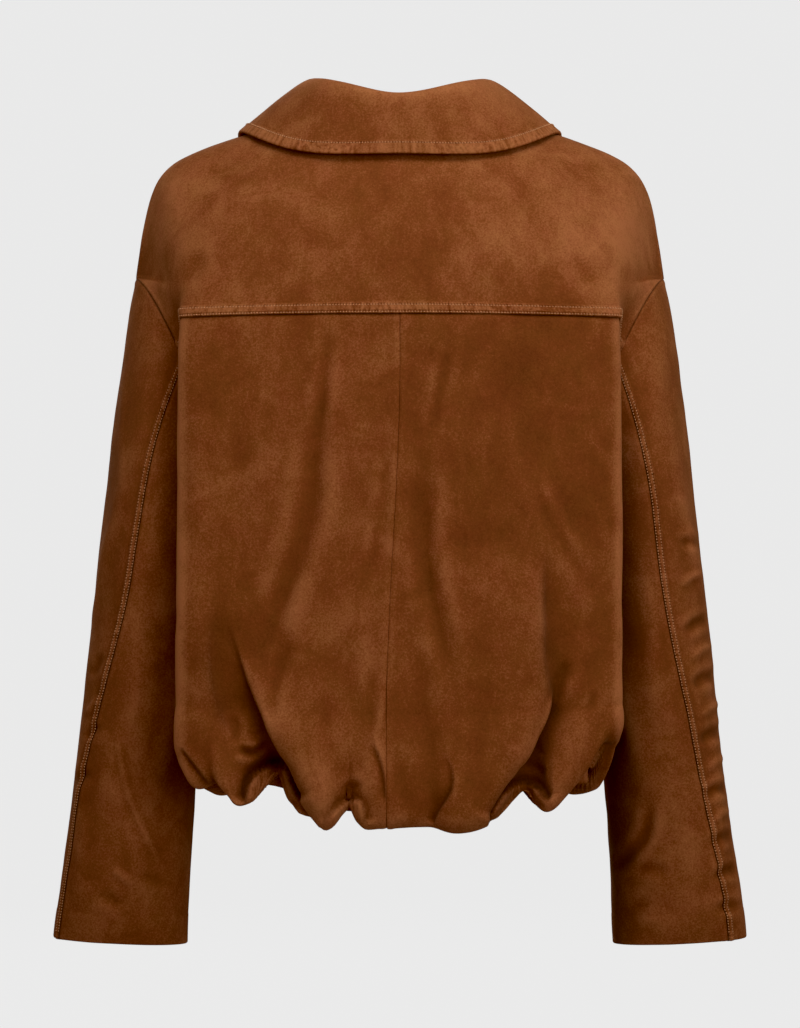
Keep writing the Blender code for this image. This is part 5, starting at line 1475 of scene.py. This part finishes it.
def make_sleeve_piece(side, word, part):
    """One sleeve's top piece, stitched down over its back seam, or its under piece."""
    suede, stitching = facts()
    dense_rows, dense_share = np.linspace(0, CUFF, 500), np.linspace(0, 1, 300)
    down = stations(dense_rows, sleeve(side, SLEEVE_TURN[part], dense_rows), suede.step * FINER)
    start, end = seam_turns(side, part, np.float64(SLEEVE_ROW))
    measured = sleeve(side, start + (end - start) * dense_share, SLEEVE_ROW)
    across = stations(dense_share, measured, suede.step, end=STITCH_LINES)
    share, row = np.meshgrid(across, down, indexing="ij")
    start, end = seam_turns(side, part, row)
    turn = start + (end - start) * share
    grid = drawn_in(sleeve(side, turn, row), ("u0", "u1", "v0"))
    away = edge_distances(grid)
    behind, ahead = (ease(*SLEEVE_TURNS, sign * np.sin(np.radians(turn))) for sign in (1, -1))
    x, z = grid[..., 0], grid[..., 2]
    lift = behind * trough_lift(x, z, SLEEVE_BACK_TROUGHS[side])
    lift += ahead * trough_lift(x * side, z, SLEEVE_FRONT_TROUGHS)
    lift += slack(grid, seed=71 + side, strength=1.2) + plain_seam(away["v0"], away["u0"], seed=16)
    lift += plain_seam(away["u0"], away["v0"], seed=17)
    rows = (stitching.sleeve_near, stitching.sleeve_far)
    along, pressed, sewn = away["v0"], 0 * lift, 0 * lift
    if part == "top":
        along = away["v0"][-1:] + 0 * lift
        band, pressed, sewn = stitched_band(away["u1"], along, rows, seed=18)
        lift += band
    else:
        lift += plain_seam(away["u1"], away["v0"], seed=19)
    cuff = 1 - ease(*CUFF_EDGE, away["v1"])
    lift += CUFF_UP * cuff
    thickness = suede.thickness * (1 + CUFF_THICKER * cuff)
    # Painted shadow: the body's shadow on the sleeve beside it, darkest on the right sleeve
    dark, reach = BODY_SHADOW_ON_SLEEVES[side]
    beside = np.exp(-((np.maximum(0, np.abs(x) - BODY_SIDE) / reach) ** 2)) * ease(*BODY_SHADOW_FROM, z)
    piece, face = shell(
        f"sleeve_{word}_{part}_suede", grid, -side, lift, thickness, ("v1",),
        tone=SLEEVE_TONE - BACK_TONE * side, pressed=pressed, along=along, sewn=sewn,
        shaded=np.maximum(dark * behind * beside, seam_foot(away, ("u1", "v0"))),
    )
    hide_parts(f"sleeve_{word}_{part}")
    if part == "top":
        thread = [stitch_rows(f"sleeve_{word}_topstitching", face, along, "u1", rows, start=0.002, end=0.004)]


def collar_foot(grid):
    """The collar with its foot let down onto the two fronts, and back onto the one that lies under."""
    x, y = grid[..., 0], grid[..., 1]
    foot = np.exp(-((edge_distances(grid)["v0"] / FOOT_REACH) ** 2)) * ease(*FOOT_FROM, y)
    under = ease(*UNDER_FROM, x) * (1 - ease(*UNDER_TO, x))
    grid[..., 1] += FOOT_BACK * foot * under
    grid[..., 2] -= FOOT_DOWN * foot
    return grid


def make_collar():
    """The collar, its stand and fall in one, with a row of stitches along its outer edge."""
    suede, stitching = facts()
    dense_turn, dense_fall = np.linspace(-1, 1, 600), np.linspace(0, 2, 300)
    turns = stations(dense_turn, collar(dense_turn, COLLAR_FALL), suede.step)
    falls = stations(dense_fall, collar(0.0, dense_fall), suede.step * FINER, end=STITCH_LINES)
    turn, fall = np.meshgrid(turns, falls, indexing="ij")
    grid = collar_foot(collar(turn, fall))
    away = edge_distances(grid)
    on_stand = 1 - ease(*STAND_FALLS, fall)
    edge = np.minimum(away["v1"], np.minimum(away["u0"], away["u1"]) + STAND_AWAY * on_stand)
    along = away["u0"][:, -1:] + 0 * away["u0"]
    band, pressed, sewn = stitched_band(edge, along, (stitching.collar_row,), seed=20)
    lift = band * COLLAR_BAND + rolled(edge, BAND_ROLL) + slack(grid, seed=81, strength=0.8)
    thickness = suede.collar_thickness + COLLAR_EDGE * pressed
    piece, face = shell(
        "collar_suede", grid, 1, lift, thickness, ("u0", "u1", "v1"), tone=COLLAR_TONE, pressed=pressed,
        along=along, sewn=sewn,
    )
    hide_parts("collar")
    row = stitching.collar_row
    thread = stitch_rows("collar_topstitching", face, along, "v1", (row,), start=row, end=row)


def make_hem_band():
    """The band inside the hem. The hem is gathered onto it."""
    suede, _ = facts()
    end = 1 - BAND_END_X / FRONT_ROWS[-1, 2] * CREST / math.pi
    across, down = np.linspace(-end, end, BAND_POINTS[0]), np.linspace(1, 0, BAND_POINTS[1])
    place, height = np.meshgrid(across, down, indexing="ij")
    outer, inner = (band_ring(place, layers * suede.thickness + BAND_CLEAR) for layers in (1, 2))
    for ring in (outer, inner):
        ring[..., 2] += BAND_HEIGHT * height
    facing = np.sign((grid_normals(outer, 1) * (outer - inner)).sum())
    away = edge_distances(outer)
    lift = HEM_PUCKER * soft_noise(outer, HEM_PUCKER_SIZE, seed=91) * (1 - ease(*HEM_PUCKER_END, away["v1"]))
    piece, _ = shell(
        "hem_band_suede", outer, facing, lift, suede.thickness, ("u0", "u1", "v0", "v1"), pressed=0.5,
        along=away["u0"],
    )
    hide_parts("hem_band")


def button_seat(number):
    """A button's place on the front and the way that it faces."""
    height = BUTTON_TOP - BUTTON_SPACING * number
    down = np.float64(np.interp(-height, -FRONT_ROWS[:, 1], range(len(FRONT_ROWS))))
    for _ in range(4):
        down += (body("front", -1, 0.0, down)[..., 2] - height) / (BUTTON_SPACING / 2)
    face = unit(normals_of(lambda a, b: body("front", -1, a, b), np.float64(0.0), down) * (0, 1, 1))
    return body("front", -1, 0.0, down) + face * BUTTON_CLEAR, face


def make_button(number):
    """A turned horn button with a raised rim, four holes and thread crossed over it."""
    look = bpy.context.scene.jacket_buttons
    seat, facing = button_seat(number)
    across = np.array((1.0, 0.0, 0.0))
    upward = np.cross(facing, across)
    profile = np.array(BUTTON_PROFILE) * (BUTTON_RADIUS, BUTTON_THICKNESS)
    radii = np.linspace(FACE_INNER, profile[2, 0], FACE_RINGS)
    face = np.stack([radii, np.interp(radii, profile[:3, 0], profile[:3, 1])], axis=-1)
    rim = [a + (b - a) * share for a, b in zip(profile[2:-1], profile[3:]) for share in RIM_SHARES]
    outline = np.concatenate([face, rim])
    turns, quarters = np.linspace(0, 2 * math.pi, BUTTON_SIDES + 1)[:-1], np.radians((45, 135, 225, 315))
    flat = outline[:, :1, None] * np.stack([np.cos(turns), np.sin(turns)], axis=-1)
    holes = look.hole_spread * np.stack([np.cos(quarters), np.sin(quarters)], axis=-1)
    gap = np.linalg.norm(flat[:, :, None] - holes, axis=-1).min(-1)
    in_hole = 1 - ease(*(look.hole_radius * share for share in HOLE_SLOPE), gap)
    in_hole[FACE_RINGS:] = 0
    rise = outline[:, 1:] - look.hole_depth * in_hole
    corners = seat + flat[..., :1] * across + flat[..., 1:] * upward + rise[..., None] * facing
    faces = [tuple(range(BUTTON_SIDES))]
    faces += [(a, c, d, b) for b, a, c, d in side_faces(0, len(outline), BUTTON_SIDES)]
    faces.append(tuple(reversed(range((len(outline) - 1) * BUTTON_SIDES, len(outline) * BUTTON_SIDES))))
    name = f"button_{number + 1}"
    horn = material("buffalo_horn_polished", polished_horn)
    button = new_piece(f"{name}_horn", corners.reshape(-1, 3), faces, horn)
    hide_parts(name)
    ends = seat + holes[:, :1] * across + holes[:, 1:] * upward + facing * (profile[0, 1] - STRAND_DROP)
    button_thread(f"{name}_thread", ends, facing)


def button_thread(name, ends, facing):
    """Thick sewing thread pulled over a button from hole to hole, two strands each way."""
    corners, faces = [], []
    shares = np.linspace(-STRAND_PAST, 1 + STRAND_PAST, STRAND_RINGS)
    over = np.clip(shares, 0, 1)
    lifted = STRAND_RISE * np.sin(math.pi * over) - STRAND_SINK * np.abs(shares - over) / STRAND_PAST
    for start, end in ((ends[0], ends[2]), (ends[1], ends[3])):
        across = unit(np.cross(unit(end - start), facing))
        for shift in (-STRAND_APART, STRAND_APART):
            centres = start + (end - start) * over[:, None] + across * shift + facing * lifted[:, None]
            faces += add_tube(corners, centres, [STRAND_RADIUS] * len(centres), across, facing, STRAND_SIDES)
    return new_piece(name, corners, faces, material("polyester_thread_spun", sewing_thread))


# ---- Studio ----
# The radius of the curve from floor to wall, the radius of the floor's middle, the wall's top, and the number
# of rings in that curve and of sides round it, then the camera's sensor in millimetres
SWEEP_ROUND, SWEEP_MIDDLE, SWEEP_TOP, SWEEP_RINGS, SWEEP_SIDES, SENSOR_WIDTH = 0.8, 0.01, 3.4, 13, 64, 36.0
KEY_PLACE, KEY_SIZE, FILL_SIZE = (-0.25, 1.1, 1.3), (1.8, 0.9), 1.6
FILL_PLACES = {"right": (-1.6, 2.9, 0.1), "left": (2.0, 1.5, 0.4), "front": (0.6, -2.8, 0.7)}


def aimed(name, data, place, target):
    """Puts a light or camera in the scene, pointed at a target."""
    made = bpy.data.objects.new(name, data)
    made.location = place
    made.rotation_euler = (Vector(target) - Vector(place)).to_track_quat("-Z", "Y").to_euler()
    bpy.context.scene.collection.objects.link(made)
    return made


def make_sweep():
    """A round floor that curves up into a wall. It throws no light or shadow on the jacket."""
    look = bpy.context.scene.jacket_studio
    turned = np.linspace(0, math.pi / 2, SWEEP_RINGS)
    out, up = look.wall - SWEEP_ROUND * (1 - np.sin(turned)), look.floor + SWEEP_ROUND * (1 - np.cos(turned))
    profile = [(SWEEP_MIDDLE, look.floor), *zip(out, up), (look.wall, SWEEP_TOP)]
    around = np.linspace(0, 2 * math.pi, SWEEP_SIDES + 1)[:-1]
    corners = [(r * math.cos(a), r * math.sin(a), z) for r, z in profile for a in around]
    faces = [(a, b, d, c) for b, a, c, d in side_faces(0, len(profile), SWEEP_SIDES)]
    faces.append(tuple(range(SWEEP_SIDES)))
    mesh = bpy.data.meshes.new("studio_sweep")
    mesh.from_pydata(corners, [], faces)
    mesh.shade_smooth()
    mesh.materials.append(material("studio_paper_matt", pale_paper))
    sweep = bpy.data.objects.new("studio_sweep", mesh)
    bpy.context.scene.collection.objects.link(sweep)
    sweep.visible_diffuse = sweep.visible_glossy = sweep.visible_shadow = False


def make_stage():
    """The sweep, the light from all round, four softboxes and the camera."""
    scene = bpy.context.scene
    look = scene.jacket_studio
    make_sweep()
    scene.world = bpy.data.worlds.new("studio_room")
    scene.world.use_nodes = True
    ground = scene.world.node_tree.nodes["Background"]
    ground.inputs["Color"].default_value = (*look.room_colour, 1.0)
    ground.inputs["Strength"].default_value = look.room
    middle = (0.0, 0.0, look.camera_height)
    key = aimed("key_softbox", bpy.data.lights.new("key_softbox", "AREA"), KEY_PLACE, middle).data
    key.shape, key.energy = "RECTANGLE", look.key_power
    key.size, key.size_y = KEY_SIZE
    powers = (look.fill_power, look.edge_power, look.front_power)
    for (word, place), power in zip(FILL_PLACES.items(), powers):
        name = f"{word}_softbox"
        fill = aimed(name, bpy.data.lights.new(name, "AREA"), place, middle).data
        fill.size, fill.energy = FILL_SIZE, power
    place = (0.0, look.camera_distance, look.camera_height)
    camera = aimed("camera", bpy.data.cameras.new("camera"), place, middle)
    camera.data.lens, camera.data.sensor_width = look.lens, SENSOR_WIDTH
    scene.camera = camera
    scene.view_settings.view_transform = "Standard"
    scene.view_settings.use_curve_mapping = True
    scene.view_settings.curve_mapping.black_level = (look.black_level,) * 3


# ---- Operators ----
class JACKET_OT_yoke(bpy.types.Operator):
    """Make the yoke, with two rows of stitches along its folded edge"""

    bl_idname = "jacket.make_yoke"
    bl_label = "Yoke"

    def execute(self, context):
        make_yoke()
        return {"FINISHED"}


class JACKET_OT_backs(bpy.types.Operator):
    """Make the two back panels, down to the bubble hem"""

    bl_idname = "jacket.make_backs"
    bl_label = "Back panels"

    def execute(self, context):
        make_back(1, "left")
        make_back(-1, "right")
        return {"FINISHED"}


class JACKET_OT_fronts(bpy.types.Operator):
    """Make the two fronts, the wearer's right over the left"""

    bl_idname = "jacket.make_fronts"
    bl_label = "Fronts"

    def execute(self, context):
        make_front(1, "left")
        make_front(-1, "right")
        return {"FINISHED"}


class JACKET_OT_sleeves(bpy.types.Operator):
    """Make the two-piece sleeves, with their stitched back seams"""

    bl_idname = "jacket.make_sleeves"
    bl_label = "Sleeves"

    def execute(self, context):
        for side, word in ((1, "left"), (-1, "right")):
            make_sleeve_piece(side, word, "top")
            make_sleeve_piece(side, word, "under")
        return {"FINISHED"}


class JACKET_OT_collar(bpy.types.Operator):
    """Make the turned-down collar, stitched round its edge"""

    bl_idname = "jacket.make_collar"
    bl_label = "Collar"

    def execute(self, context):
        make_collar()
        return {"FINISHED"}


class JACKET_OT_hem_band(bpy.types.Operator):
    """Make the inner band that the hem is gathered onto"""

    bl_idname = "jacket.make_hem_band"
    bl_label = "Hem band"

    def execute(self, context):
        make_hem_band()
        return {"FINISHED"}


class JACKET_OT_buttons(bpy.types.Operator):
    """Make the horn buttons and their thread"""

    bl_idname = "jacket.make_buttons"
    bl_label = "Buttons"

    def execute(self, context):
        for number in range(BUTTON_COUNT):
            make_button(number)
        return {"FINISHED"}


class JACKET_OT_stage(bpy.types.Operator):
    """Make the floor, backdrop, lights and camera"""

    bl_idname = "jacket.make_stage"
    bl_label = "Studio"

    def execute(self, context):
        make_stage()
        return {"FINISHED"}


class JACKET_PT_pieces(bpy.types.Panel):
    bl_idname = "JACKET_PT_pieces"
    bl_label = "Suede jacket"
    bl_space_type = "VIEW_3D"
    bl_region_type = "UI"
    bl_category = "Jacket"

    def draw(self, context):
        for operator in OPERATORS:
            self.layout.operator(operator.bl_idname)
        for name in GROUPS:
            box = self.layout.box()
            for field in getattr(context.scene, name).__annotations__:
                box.prop(getattr(context.scene, name), field)


OPERATORS = (
    JACKET_OT_yoke,
    JACKET_OT_backs,
    JACKET_OT_fronts,
    JACKET_OT_sleeves,
    JACKET_OT_collar,
    JACKET_OT_hem_band,
    JACKET_OT_buttons,
    JACKET_OT_stage,
)
GROUPS = {
    "jacket_stitching": JacketStitching,
    "jacket_suede": JacketSuede,
    "jacket_buttons": JacketButtons,
    "jacket_studio": JacketStudio,
}


def register():
    for kind in (*GROUPS.values(), *OPERATORS, JACKET_PT_pieces):
        bpy.utils.register_class(kind)
    for name, kind in GROUPS.items():
        setattr(bpy.types.Scene, name, PointerProperty(type=kind))


def unregister():
    for name in GROUPS:
        delattr(bpy.types.Scene, name)
    for kind in (JACKET_PT_pieces, *reversed(OPERATORS), *reversed(GROUPS.values())):
        bpy.utils.unregister_class(kind)


def main():
    register()
    for operator in OPERATORS:
        group, name = operator.bl_idname.split(".")
        getattr(getattr(bpy.ops, group), name)()


if __name__ == "__main__":
    main()
